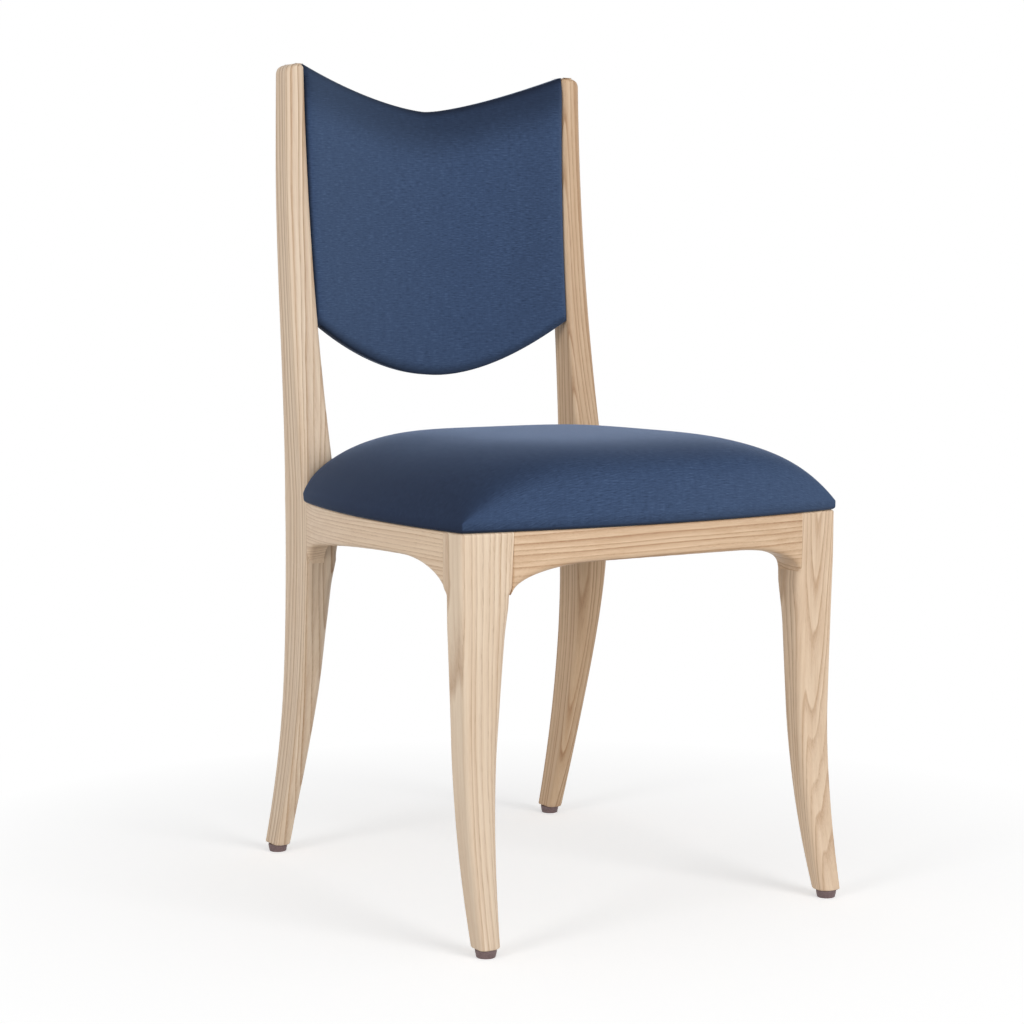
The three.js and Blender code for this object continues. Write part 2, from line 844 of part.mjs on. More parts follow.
// A closed body under one curved sheet, with a flat base at a height
function mound(steps, sheet, base) {
  const positions = [];
  const indices = [];
  const row = steps + 1;
  for (let along = 0; along <= steps; along++) {
    for (let across = 0; across <= steps; across++) {
      const point = sheet(spread(across, steps), spread(along, steps));
      positions.push(point.x, point.y, point.z);
    }
  }
  for (let along = 0; along < steps; along++) {
    for (let across = 0; across < steps; across++) {
      const corner = along * row + across;
      indices.push(corner, corner + 1, corner + row + 1, corner, corner + row + 1, corner + row);
    }
  }
  const rim = rimPlaces(steps, steps).map(([across, along]) => along * row + across);
  const low = positions.length / 3;
  for (const place of rim) positions.push(positions[3 * place], positions[3 * place + 1], base);
  const centre = positions.length / 3;
  positions.push(0, 0, base);
  rim.forEach((here, place) => {
    const next = (place + 1) % rim.length;
    indices.push(here, low + place, low + next);
    indices.push(here, low + next, rim[next]);
    indices.push(low + next, low + place, centre);
  });
  return facingOut(positions, indices);
}

// Seat cushion plan: the frame outline with a slight overhang, its corners drawn in, inset by a wall
function seatPlan(across, along, inset) {
  const rowShare = (along + 1) / 2;
  const front = -frontCornerDepth - cushionOverhang + inset;
  const rear = cushionRearDepth - inset;
  const corner = cushionCornerRound * Math.abs(across * along) ** 14;
  const straightY = front + (rear - front) * rowShare;
  const rearLoss = cushionRearHalfWidth - frameSide(cushionRearDepth);
  const halfWidth = frameSide(straightY) + rearLoss * rowShare ** 2 + cushionOverhang - inset - corner;
  const bow = frontBow * (1 - across * across) * (1 - rowShare);
  const y = straightY - bow - Math.sign(along) * corner;
  return new THREE.Vector3(across * halfWidth, y, 0);
}

function seatCrown(across, along) {
  const sideShare = (1 - Math.abs(across) ** 4.48) ** 0.79;
  const lengthShare = (1 - Math.abs(along) ** 3.7) ** 0.21;
  return cushionCrown * sideShare * lengthShare;
}

function seatMound(inset, base) {
  const sheet = (across, along) => {
    const point = seatPlan(across, along, inset);
    point.z = cushionBase + cushionBorder + seatCrown(across, along) - inset;
    return point;
  };
  return mound(cushionSteps, sheet, base);
}

// The room that a stile takes out of a rear corner of the cushion, grown by a clearance
function stileNotch(clearance) {
  const rings = [];
  for (const z of [seatFrameTop - cutOverrun, ...stileHeights()]) {
    const front = rearLegFront(Math.max(z, seatFrameTop)) - clearance;
    const inner = rearLegInner(Math.max(z, seatFrameTop)) - clearance;
    const back = rearLegBack(z) + cutOverrun;
    const outer = frontCornerHalfWidth + cutOverrun;
    rings.push([
      new THREE.Vector3(inner, front, z),
      new THREE.Vector3(outer, front, z),
      new THREE.Vector3(outer, back, z),
      new THREE.Vector3(inner, back, z),
    ]);
  }
  return loft(rings);
}

function withoutStiles(geometry, clearance) {
  const right = stileNotch(clearance);
  return cutBy(geometry, [right, mirrored(right)]);
}

function seatCoverBody() {
  const wall = coverThickness;
  const outer = withoutStiles(seatMound(0, cushionBase), fitGap);
  const hollow = withoutStiles(seatMound(wall, cushionBase + coverHemThickness), fitGap + wall);
  const opening = seatPlate(coverHem, coverStileHem, cushionBase - cutOverrun, 2 * cutOverrun);
  return cutBy(outer, [hollow, opening]);
}

// The foam fills the cover and wraps down over the edge of the board
function seatFoamBody() {
  const inset = coverThickness + fitGap;
  const block = withoutStiles(seatMound(inset, boardBottom), fitGap + inset);
  const low = boardBottom - cutOverrun;
  const recess = seatPlate(boardInset - fitGap, boardStileInset - fitGap, low, boardTop + fitGap - low);
  return cutBy(block, [recess]);
}

// A flat plate under the foam with the plan of the cushion, drawn in from its edge and from the stiles
function seatPlate(inset, stileInset, low, thickness) {
  const outline = rimPlaces(plateSteps, plateSteps).map(([across, along]) => {
    const point = seatPlan(spread(across, plateSteps), spread(along, plateSteps), inset);
    return new THREE.Vector2(point.x, point.y);
  });
  const plate = new THREE.ExtrudeGeometry(new THREE.Shape(outline), { depth: thickness, bevelEnabled: false });
  plate.translate(0, 0, low);
  return withoutStiles(plate, stileInset);
}

// The upholstered back: its front surface at a place across and up the panel
function backHeight(across, along) {
  const spread = Math.abs(across);
  const top = chairHeight - fitGap - backTopDip * (1 - spread ** 1.45);
  const bottom = backBottomCentre + backBottomRise * spread ** 1.9;
  return bottom + (top - bottom) * (along + 1) / 2;
}

function backPoint(across, along, inset, layer) {
  const z = backHeight(across, along) - inset * along;
  const x = across * (rearLegInner(z) - fitGap - inset);
  const dish = backDish * (1 - (x / rearLegInner(z)) ** 2);
  return new THREE.Vector3(x, rearLegFront(z) - backProud + dish + layer, z);
}

function backEdge(across, along) {
  return (1 - Math.abs(across) ** 9) ** 0.5 * (1 - Math.abs(along) ** 9) ** 0.5;
}

function backLayer(inset, front, back, edge) {
  const upper = (across, along) => backPoint(across, along, inset, front + edge * (1 - backEdge(across, along)));
  const lower = (across, along) => backPoint(across, along, inset, back);
  return pillow(backAcrossSteps, backUpSteps, upper, lower);
}

const backFoamFront = backCoverThickness + fitGap;
const backCoreFront = backFoamFront + backFoamThickness + fitGap;
const backCoreRear = backCoreFront + backCoreThickness;
const backRearFront = backCoreRear + fitGap;

function backDowels() {
  const dowels = [];
  const shares = { upper: backUpperDowelShare, lower: backLowerDowelShare };
  for (const place of ['upper', 'lower']) {
    const z = backBottomCorner + (chairHeight - backBottomCorner) * shares[place];
    const x = rearLegInner(z) - panelDowelRadius;
    const core = (backCoreFront + backCoreRear) / 2;
    const innerShare = (x - panelDowelLength / 4) / rearLegInner(z);
    const y = rearLegFront(z) - backProud + core + backDish * (1 - innerShare ** 2);
    const along = new THREE.Vector3(1, 0, 0);
    const { pin, hole } = dowelAt(new THREE.Vector3(x, y, z), along, panelDowelRadius, panelDowelLength);
    dowels.push({ place, pin, hole });
  }
  return dowels;
}

function bothSides(geometries) {
  return geometries.concat(geometries.map(mirrored));
}

// Materials
function material(colour, roughness, metalness) {
  return new THREE.MeshStandardMaterial({ color: colour, roughness, metalness });
}

const ashWood = () => material(0xd6ba99, 0.5, 0);
const beechWood = () => material(0xcdb08a, 0.6, 0);
const plywood = () => material(0xc9ab80, 0.7, 0);
const blueCloth = () => material(0x40546f, 0.9, 0);
const foam = () => material(0xe8e2cf, 0.95, 0);
const blackCloth = () => material(0x1d1d20, 0.95, 0);
const glidePlastic = () => material(0x756362, 0.55, 0);
const zincSteel = () => material(0xa9abad, 0.4, 1);

// Assembly
const chair = new THREE.Group();

function addPiece(name, geometry, finish) {
  const mesh = new THREE.Mesh(geometry, finish);
  mesh.name = name;
  chair.add(mesh);
}

function addPair(name, geometry, finish) {
  addPiece(`${name}_right`, geometry, finish());
  addPiece(`${name}_left`, mirrored(geometry), finish());
}

const dowels = jointDowels();
const holesOf = (...joints) => dowels.filter((dowel) => joints.includes(dowel.joint)).map((dowel) => dowel.hole);
const panelDowels = backDowels();
const panelHoles = panelDowels.map((dowel) => dowel.hole);
const screws = { front: cornerScrews('front'), rear: cornerScrews('rear') };

function footPlace(ring) {
  const middle = new THREE.Vector3();
  for (const point of ring) middle.add(point);
  return middle.divideScalar(ring.length);
}

function addLegs() {
  const footTop = glideHeight + fitGap;
  const frontFoot = footPlace(frontLegRing(footTop, footLip));
  const rearFoot = footPlace(rearLegRing(footTop, footLip, 0));
  const frontHoles = [...holesOf('front_rail', 'side_rail_front'), nailHole(frontFoot.x, frontFoot.y)];
  const rearHoles = [...holesOf('back_rail', 'side_rail_rear'), ...panelHoles, nailHole(rearFoot.x, rearFoot.y)];
  addPair('front_leg', cutBy(frontLegBody(), frontHoles), ashWood);
  addPair('rear_leg', cutBy(rearLegBody(), rearHoles), ashWood);
  addPair('front_glide', glideBody(frontFoot.x, frontFoot.y), glidePlastic);
  addPair('rear_glide', glideBody(rearFoot.x, rearFoot.y), glidePlastic);
  addPair('front_glide_nail', nailBody(frontFoot.x, frontFoot.y), zincSteel);
  addPair('rear_glide_nail', nailBody(rearFoot.x, rearFoot.y), zincSteel);
}

function addRails() {
  const frontScrew = screwShankHole(screws.front.rail);
  const rearScrew = screwShankHole(screws.rear.rail);
  const sideHoles = [
    ...holesOf('side_rail_front', 'side_rail_rear'),
    screwShankHole(screws.front.side),
    screwShankHole(screws.rear.side),
  ];
  addPiece('front_rail', cutBy(frontRailBody(), bothSides([...holesOf('front_rail'), frontScrew])), ashWood());
  addPair('side_rail', cutBy(sideRailBody(), sideHoles), ashWood);
  addPiece('back_rail', cutBy(backRailBody(), bothSides([...holesOf('back_rail'), rearScrew])), ashWood());
}

function addJoinery() {
  for (const dowel of dowels) addPair(`dowel_${dowel.joint}_${dowel.place}`, dowel.pin, beechWood);
  for (const corner of ['front', 'rear']) {
    addPair(`${corner}_corner_block`, cornerBlockBody(corner, screws[corner]), beechWood);
    for (const use of ['rail', 'side', 'seat']) {
      addPair(`${corner}_block_${use}_screw`, screwBody(screws[corner][use]), zincSteel);
    }
  }
}

function addSeat() {
  const seatScrewHoles = bothSides([screwShankHole(screws.front.seat), screwShankHole(screws.rear.seat)]);
  const board = seatPlate(boardInset, boardStileInset, boardBottom, boardThickness);
  const dustLow = boardBottom - dustCoverThickness;
  const dust = seatPlate(coverHem + fitGap, coverStileHem + fitGap, dustLow, dustCoverThickness);
  addPiece('seat_cover', seatCoverBody(), blueCloth());
  addPiece('seat_foam', seatFoamBody(), foam());
  addPiece('seat_board', cutBy(board, seatScrewHoles), plywood());
  addPiece('seat_dust_cover', cutBy(dust, seatScrewHoles), blackCloth());
}

function addBack() {
  const holes = bothSides(panelHoles);
  const wall = backCoverThickness;
  const outer = backLayer(0, 0, backCoreRear, backEdgeRound);
  const hollow = backLayer(wall, wall, backCoreRear + cutOverrun, backEdgeRound);
  const coreInset = wall + fitGap;
  const foamBack = backFoamFront + backFoamThickness;
  const foamBody = backLayer(coreInset, backFoamFront, foamBack, backEdgeRound);
  const core = backLayer(coreInset, backCoreFront, backCoreRear, 0);
  const rear = backLayer(backPanelInset, backRearFront + backPanelThickness, backRearFront, 0);
  addPiece('back_front_cover', cutBy(outer, [hollow, ...holes]), blueCloth());
  addPiece('back_foam', foamBody, foam());
  addPiece('back_core', cutBy(core, holes), plywood());
  addPiece('back_rear_panel', rear, blueCloth());
  for (const dowel of panelDowels) addPair(`back_dowel_${dowel.place}`, dowel.pin, beechWood);
}

addLegs();
addRails();
addJoinery();
addSeat();
addBack();

// The origin lies on the floor under the middle of the chair's box
const box = new THREE.Box3().setFromObject(chair);
chair.position.y = -(box.min.y + box.max.y) / 2;

export default chair;
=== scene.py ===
# %% [markdown]
# # A klismos side chair, from its frame to its finish
# The chair has a pale ash frame with sabre legs, a domed seat and a dished back, both covered in one blue
# cloth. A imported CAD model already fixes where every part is. This lesson loads it, keeps the parts that stay
# hidden, and builds the visible ones again with rounder edges, real grain and real cloth, in the same frame
# and in metres.

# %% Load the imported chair
import math

import bmesh
import bpy
import numpy as np
from mathutils import Euler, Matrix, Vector


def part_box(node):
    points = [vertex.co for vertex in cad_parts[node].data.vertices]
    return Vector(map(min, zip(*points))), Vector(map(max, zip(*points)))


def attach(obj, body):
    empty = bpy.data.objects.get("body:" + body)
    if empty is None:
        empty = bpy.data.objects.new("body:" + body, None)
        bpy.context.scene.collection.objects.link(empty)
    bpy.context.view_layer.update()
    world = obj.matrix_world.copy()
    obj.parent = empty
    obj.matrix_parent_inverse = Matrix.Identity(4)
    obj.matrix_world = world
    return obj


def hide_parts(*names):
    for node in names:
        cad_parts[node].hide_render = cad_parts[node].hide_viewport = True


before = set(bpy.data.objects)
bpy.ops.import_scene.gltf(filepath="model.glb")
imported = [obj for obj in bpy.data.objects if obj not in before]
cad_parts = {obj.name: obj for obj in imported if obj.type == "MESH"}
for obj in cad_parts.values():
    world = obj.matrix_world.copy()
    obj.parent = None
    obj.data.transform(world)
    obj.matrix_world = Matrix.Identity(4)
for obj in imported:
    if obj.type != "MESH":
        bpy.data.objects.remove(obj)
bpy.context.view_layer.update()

# %% [markdown]
# ## The sizes of the chair
# A maker works from a drawing with a few sizes on it, and everything else follows. The lesson does the same:
# the numbers below are the lengths of the drawing, and the curves of the rails and legs are short formulas of
# them. They are the formulas that the CAD solids were made with, so a piece built from them covers its solid.
# The drawing measures depth from its own middle line, and the frame puts the middle of the box at zero, so
# one shift along Y joins the two.

# %% Sizes of the frame
SEAT_FRAME_TOP = 0.4215
CHAIR_HEIGHT = 0.912
FIT_GAP = 0.0003
CORNER_HALF_WIDTH, CORNER_DEPTH, FRONT_BOW = 0.236, 0.240, 0.027
REAR_JOINT_HALF_WIDTH, REAR_JOINT_DEPTH, SIDE_BOW = 0.2064, 0.146, 0.021
RAIL_THICKNESS, RAIL_ARRIS, TOP_ARRIS, SMALL_ARRIS = 0.023, 0.007, 0.0024, 0.0012
FRONT_JOINT_HALF_WIDTH = 0.182
FRONT_LEG_DEPTH = 0.0304
FRONT_LEG_BACK = FRONT_LEG_DEPTH - CORNER_DEPTH
REAR_LEG_INNER = 0.1655
BACK_RAIL_REAR, BACK_RAIL_LOW = 0.1875, SEAT_FRAME_TOP - 0.046
GLIDE_HEIGHT = 0.0088
SHIFT_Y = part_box("side_rail_right")[0].y - FRONT_LEG_BACK
print(f"The drawing's middle line lies {1000 * SHIFT_Y:.2f} mm in front of the frame's zero")


# %% Curves of the seat frame
def clamp(value):
    return np.clip(value, 0.0, 1.0)


def smooth(value):
    share = clamp(value)
    return share * share * (3 - 2 * share)


def fillet(value):
    """The drop of a quarter round as its place runs from 0 to 1."""
    return 1 - np.sqrt(1 - clamp(value) ** 2)


def frame_front(x):
    return -CORNER_DEPTH - FRONT_BOW * (1 - (x / CORNER_HALF_WIDTH) ** 2)


def frame_side(y):
    share = (y + CORNER_DEPTH) / (REAR_JOINT_DEPTH + CORNER_DEPTH)
    straight = CORNER_HALF_WIDTH + (REAR_JOINT_HALF_WIDTH - CORNER_HALF_WIDTH) * share
    return straight + SIDE_BOW * 4 * share * (1 - share)


def front_rail_low(x):
    place = abs(x)
    arch = 0.003 * (place / FRONT_JOINT_HALF_WIDTH) ** 2
    return SEAT_FRAME_TOP - 0.0335 - arch - 0.027 * fillet((place - FRONT_JOINT_HALF_WIDTH + 0.090) / 0.090)


def front_rail_back(x):
    """The rail's hidden face, which sweeps rearward near each leg until it is flush with the leg's back."""
    sweep = FRONT_LEG_BACK - frame_front(FRONT_JOINT_HALF_WIDTH) - RAIL_THICKNESS
    share = clamp((abs(x) - FRONT_JOINT_HALF_WIDTH + 0.060) / 0.060)
    return frame_front(x) + RAIL_THICKNESS + sweep * share**2.2


def side_rail_low(y):
    high_place = FRONT_LEG_BACK + 0.0735
    arch = 0.021 * ((y - high_place) / (REAR_JOINT_DEPTH - high_place)) ** 2
    front = 0.037 * fillet((FRONT_LEG_BACK + 0.083 - y) / 0.085)
    rear = 0.019 * fillet((y - REAR_JOINT_DEPTH + 0.030) / 0.030)
    return SEAT_FRAME_TOP - 0.030 - arch - front - rear


def back_rail_low(x):
    return BACK_RAIL_LOW - 0.022 * fillet((abs(x) - REAR_LEG_INNER + 0.030) / 0.030)


def edge_distance(low_curve, joint, heights, place):
    """How far points at one place and several heights lie from the arch, which runs on down the leg at its joint."""
    inward = -1 if joint > 0 else 1
    along = joint + inward * np.linspace(0, 1, 1000) ** 2 * 0.20
    arch = np.stack([along, low_curve(along)], 1)
    leg = np.stack([np.full(40, joint), low_curve(joint) - np.linspace(0.03, 0, 40)], 1)
    edge = np.concatenate([leg, arch])
    points = np.stack([np.full(len(heights), place), heights], 1)
    return np.linalg.norm(points[:, None] - edge[None], axis=2).min(1)


def rounded_rise(low_curve, joint, place, wanted):
    """Heights above the arch at which a point stands at the wanted distances from it."""
    heights = np.linspace(0, 0.024, 120)
    distances = edge_distance(low_curve, joint, low_curve(place) + heights, place)
    return np.interp(wanted, np.maximum.accumulate(distances), heights)


print("Front rail is", round(1000 * (SEAT_FRAME_TOP - front_rail_low(0))), "mm deep in the middle")


# %% Curves of the legs
FRONT_FOOT_OUTER, FRONT_FOOT_INNER = 0.2299, 0.205
REAR_KNEE, REAR_BACK_KNEE = 0.352, 0.384


def front_kick(z):
    """How far a front leg's foot stands forward of its straight part."""
    return 0.0298 * clamp(1 - z / 0.206) ** 1.7


def foot_thinning(z):
    return 0.006 * clamp(1 - z / 0.130) ** 2


def front_leg_inner(z):
    return FRONT_FOOT_INNER + (FRONT_JOINT_HALF_WIDTH - FRONT_FOOT_INNER) * clamp(z / 0.345)


def stile_share(z):
    return clamp((z - SEAT_FRAME_TOP) / (CHAIR_HEIGHT - SEAT_FRAME_TOP))


def rear_leg_front(z):
    lean = 1 - (1 - stile_share(z)) ** 2.05
    return REAR_JOINT_DEPTH + 0.096 * clamp(1 - z / REAR_KNEE) ** 1.55 + 0.0525 * lean


def rear_leg_back(z):
    kick = 0.073 * clamp(1 - z / REAR_BACK_KNEE) ** 1.75
    return 0.2012 + kick + 0.030 * smooth((z - REAR_BACK_KNEE) / 0.436)


def rear_leg_outer(z):
    ankle = 0.007 * (1 - smooth((z - 0.115) / 0.269)) - 0.002 * clamp(1 - z / 0.115) ** 2
    return REAR_JOINT_HALF_WIDTH - ankle - 0.0085 * stile_share(z) ** 0.85


def rear_leg_inner(z):
    return REAR_LEG_INNER + 0.0165 * clamp(1 - z / REAR_KNEE) ** 0.6 + 0.0095 * stile_share(z) ** 0.85


print("The stile leans back", round(1000 * (rear_leg_front(CHAIR_HEIGHT) - REAR_JOINT_DEPTH)), "mm")

# %% [markdown]
# ## From sections to a leg
# A sabre leg changes its section all the way down: it tapers, kicks forward or back at the foot, and has four
# arrises of different roundness. Box modelling with a subdivision surface would lose those exact sections. A
# loft keeps them: a ring of points is worked out at many heights, and the rings are joined with quads. The
# helper below rounds each corner of a four-sided section by its own radius and puts a few points on the flat
# sides, so that smooth shading keeps them flat.


# %% Helpers for sections and lofts
CORNER_STEPS = 7
FLAT_PLACES = (0.04, 0.3, 0.7, 0.96)


def rounded_section(corners, radii):
    """Points of a convex polygon in a plane, each corner rounded by its radius."""
    corners = np.array(corners, float)
    arcs = []
    for place, radius in enumerate(radii):
        corner = corners[place]
        before = corners[place - 1] - corner
        after = corners[(place + 1) % len(corners)] - corner
        before, after = before / np.linalg.norm(before), after / np.linalg.norm(after)
        half = math.acos(float(before @ after)) / 2
        inward = (before + after) / np.linalg.norm(before + after)
        centre = corner + inward * radius / math.sin(half)
        reach = radius / math.tan(half)
        first, last = corner + before * reach - centre, corner + after * reach - centre
        start = math.atan2(first[1], first[0])
        sweep = (math.atan2(last[1], last[0]) - start + math.pi) % (2 * math.pi) - math.pi
        angles = start + sweep * np.linspace(0, 1, CORNER_STEPS + 1)
        arcs.append(centre + radius * np.stack([np.cos(angles), np.sin(angles)], 1))
    points = []
    for place, arc in enumerate(arcs):
        points.extend(arc)
        end = arcs[(place + 1) % len(arcs)][0]
        points.extend(arc[-1] + (end - arc[-1]) * share for share in FLAT_PLACES)
    return np.array(points)


def mesh_of(name, points, edges=(), faces=()):
    mesh = bpy.data.meshes.new(name)
    mesh.from_pydata([tuple(p) for p in points], edges, faces)
    return mesh


def placed(name, data):
    """An object for a mesh, a lamp or a camera, in the scene and at the origin."""
    thing = bpy.data.objects.new(name, data)
    bpy.context.scene.collection.objects.link(thing)
    return thing


def new_piece(name, points, faces, sharp_angle=38):
    """A mesh object at the origin whose faces point outwards, smooth except at sharp edges."""
    mesh = mesh_of(name, points, faces=faces)
    shape = bmesh.new()
    shape.from_mesh(mesh)
    bmesh.ops.recalc_face_normals(shape, faces=shape.faces)
    shape.to_mesh(mesh)
    shape.free()
    mesh.shade_smooth()
    mesh.set_sharp_from_angle(angle=math.radians(sharp_angle))
    return placed(name, mesh)


def bridge(*rings):
    """Quads between each closed ring of point numbers and the next."""
    count = len(rings[0])
    return [
        (low[i], low[(i + 1) % count], high[(i + 1) % count], high[i])
        for low, high in zip(rings, rings[1:]) for i in range(count)
    ]


def loft(name, rings):
    """A closed body through rings that all have the same number of points."""
    rings = np.array(rings, float)
    numbers = np.arange(rings.shape[0] * rings.shape[1]).reshape(rings.shape[:2]).tolist()
    return new_piece(name, rings.reshape(-1, 3), bridge(*numbers) + [numbers[0], numbers[-1]])


def mirrored(rings):
    return np.array(rings) * (-1, 1, 1)


print("Each section has", 4 * (CORNER_STEPS + 1 + len(FLAT_PLACES)), "points")


# %% [markdown]
# ## The front legs
# Where a rail meets the leg, both faces are planed flush, so the leg's arris fades out there. Below the joint
# the rounded lower edge of the rail runs on down the leg as one line, which is what makes the frame look
# carved from a single piece. `joint_arris` gives the leg the rail's own roundness just under the joint and
# lets it change further down. The arch is steep where it meets the leg, so the rounding is measured square to
# it, by `edge_distance`.


# %% Front legs
def joint_arris(z, low_curve, joint, radius, run):
    """Roundness of an arris that continues a rail's lower edge below their joint."""
    joint_low = float(low_curve(joint))
    if z >= joint_low:
        distance = edge_distance(low_curve, joint, [z], joint)[0]
        return max(RAIL_ARRIS * float(fillet(1 - distance / RAIL_ARRIS)), 0.0004)
    return radius + (RAIL_ARRIS - radius) * float(smooth((z - joint_low + run) / run))


def front_leg_ring(z, inset, crown):
    """One ring of the leg. The inset draws all four sides in, and the crown only the two that show."""
    flare = clamp(z / 0.370) ** 2
    outer_front = FRONT_FOOT_OUTER + (CORNER_HALF_WIDTH - FRONT_FOOT_OUTER) * flare
    outer_back = FRONT_FOOT_OUTER + (frame_side(FRONT_LEG_BACK) - FRONT_FOOT_OUTER) * flare
    inner = front_leg_inner(z)
    front = -CORNER_DEPTH - front_kick(z)
    depth = FRONT_LEG_DEPTH - foot_thinning(z)
    forward = (frame_front(FRONT_JOINT_HALF_WIDTH) + CORNER_DEPTH) * (z / SEAT_FRAME_TOP) ** 3
    back = front + depth
    joint_low = front_rail_low(FRONT_JOINT_HALF_WIDTH)
    corners = [
        (outer_back - inset - crown, back - inset), (inner + inset, back - inset),
        (inner + inset, front + forward + inset + crown), (outer_front - inset - crown, front + inset + crown),
    ]
    radii = [
        joint_arris(z, side_rail_low, FRONT_LEG_BACK, 0.005, 0.040),
        0.008 - 0.0068 * float(smooth((z - joint_low + 0.060) / 0.060)),
        joint_arris(z, front_rail_low, FRONT_JOINT_HALF_WIDTH, 0.011, 0.045), 0.0065,
    ]
    section = rounded_section(corners, radii)
    return np.column_stack([section[:, 0], section[:, 1] + SHIFT_Y, np.full(len(section), z)])


FOOT, FOOT_LIP, LEG_RINGS = GLIDE_HEIGHT + FIT_GAP, 0.0014, 150


def leg_levels():
    """Height, inset and crown of a leg's rings: the eased foot, the even run and the rounded top."""
    levels = []
    for angle in np.linspace(0, math.pi / 2, 4):
        levels.append((FOOT + FOOT_LIP * (1 - math.cos(angle)), FOOT_LIP * (1 - math.sin(angle)), 0.0))
    levels += [(z, 0.0, 0.0) for z in np.linspace(FOOT + FOOT_LIP, SEAT_FRAME_TOP - TOP_ARRIS, LEG_RINGS)[1:]]
    for angle in np.linspace(0, math.pi / 2, 6)[1:]:
        levels.append((SEAT_FRAME_TOP - TOP_ARRIS * (1 - math.sin(angle)), 0.0, TOP_ARRIS * (1 - math.cos(angle))))
    return levels


front_rings = [front_leg_ring(*level) for level in leg_levels()]
front_leg_right = loft("front_leg_right_ash", front_rings)
front_leg_left = loft("front_leg_left_ash", mirrored(front_rings))
print("Rings in a front leg:", len(front_rings))

# %% [markdown]
# ## The rear legs and stiles
# Each rear leg and the stile above it are one board, so they are one loft too. Its rounded top is made as a
# turner would describe it, by drawing the outer side in along a quarter circle over the last few millimetres.
# Below the rails its inner front arris is rounder, and it swells a little just under the joint.


# %% Rear legs with their stiles
def rear_leg_ring(z, inset, top_inset):
    """One ring of the board; near its top all four sides are drawn in, the outer one furthest."""
    outer, inner = rear_leg_outer(z) - inset - top_inset, rear_leg_inner(z) + inset
    front, back = rear_leg_front(z) + inset, rear_leg_back(z) - inset
    corners = [(outer, back), (inner, back), (inner, front), (outer, front)]
    above = float(smooth((z - SEAT_FRAME_TOP) / 0.026))
    outer_front = joint_arris(z, side_rail_low, REAR_JOINT_DEPTH, 0.0065, 0.030)
    under_joint = float(smooth((BACK_RAIL_LOW - z) / 0.018) * (1 - 0.5 * smooth((0.060 - z) / 0.050)))
    swell = float(smooth((REAR_KNEE - z) / 0.030) * (1 - smooth((0.285 - z) / 0.090)))
    inner_front = 0.003 + 0.0060 * under_joint + 0.0050 * swell + 0.0055 * float(stile_share(z)) ** 0.7
    radii = [0.005, 0.008, inner_front, outer_front + (0.0085 - outer_front) * above]
    section = rounded_section(corners, radii)
    return np.column_stack([section[:, 0], section[:, 1] + SHIFT_Y, np.full(len(section), z)])


TOP_ROUND, TOP_LIP = 0.012, 0.0056
rear_levels = leg_levels()[:-5]
rear_levels += [(z, 0.0, 0.0) for z in np.linspace(SEAT_FRAME_TOP, CHAIR_HEIGHT - TOP_ROUND, 90)]
for angle in np.linspace(0, math.pi / 2, 9)[1:]:
    height = CHAIR_HEIGHT - TOP_ROUND * (1 - math.sin(angle))
    lip = TOP_LIP - math.sqrt(max(TOP_LIP**2 - max(height - CHAIR_HEIGHT + TOP_LIP, 0) ** 2, 0))
    rear_levels.append((height, lip, TOP_ROUND * (1 - math.cos(angle))))
rear_rings = [rear_leg_ring(*level) for level in rear_levels]
rear_leg_right = loft("rear_leg_right_ash", rear_rings)
rear_leg_left = loft("rear_leg_left_ash", mirrored(rear_rings))
print("Rings in a rear leg:", len(rear_rings))

# %% [markdown]
# ## The rails
# A rail's section is nearly a rectangle, but its lower outer edge is well rounded and its depth follows an
# arch that ends in a quarter round at each leg. The loft runs along the rail instead of up it. The rings
# stand closer together towards the ends, where the quarter round turns, and the end edges are eased by a
# hair, which draws the fine line of the joint.


# %% Rails
def rail_section(face, back, low_curve, joint, place, inset):
    """A section across a rail, whose lower rounding is measured square to its arch."""
    low, top = low_curve(place) + inset, SEAT_FRAME_TOP - inset
    step = inset if back > face else -inset
    corners = [(face + step, low), (back - step, low), (back - step, top), (face + step, top)]
    section = rounded_section(corners, [RAIL_ARRIS, SMALL_ARRIS, SMALL_ARRIS, TOP_ARRIS])
    height = section[:, 1] - low
    risen = rounded_rise(low_curve, joint, place, np.minimum(height, RAIL_ARRIS))
    top_rise = rounded_rise(low_curve, joint, place, RAIL_ARRIS)
    above = clamp((height - RAIL_ARRIS) / (top - low - RAIL_ARRIS)) * (top - low - top_rise)
    section[:, 1] = low + risen + above
    return section


def rail_places(start, end, count):
    """Places along a rail, closer together towards its ends, with a hair's ease on the two end edges."""
    shares = 0.5 - 0.5 * np.cos(np.linspace(0, math.pi, count))
    ease = 0.00015
    inner = start + ease + (end - start - 2 * ease) * shares
    return [(start, ease)] + [(place, 0.0) for place in inner] + [(end, ease)]


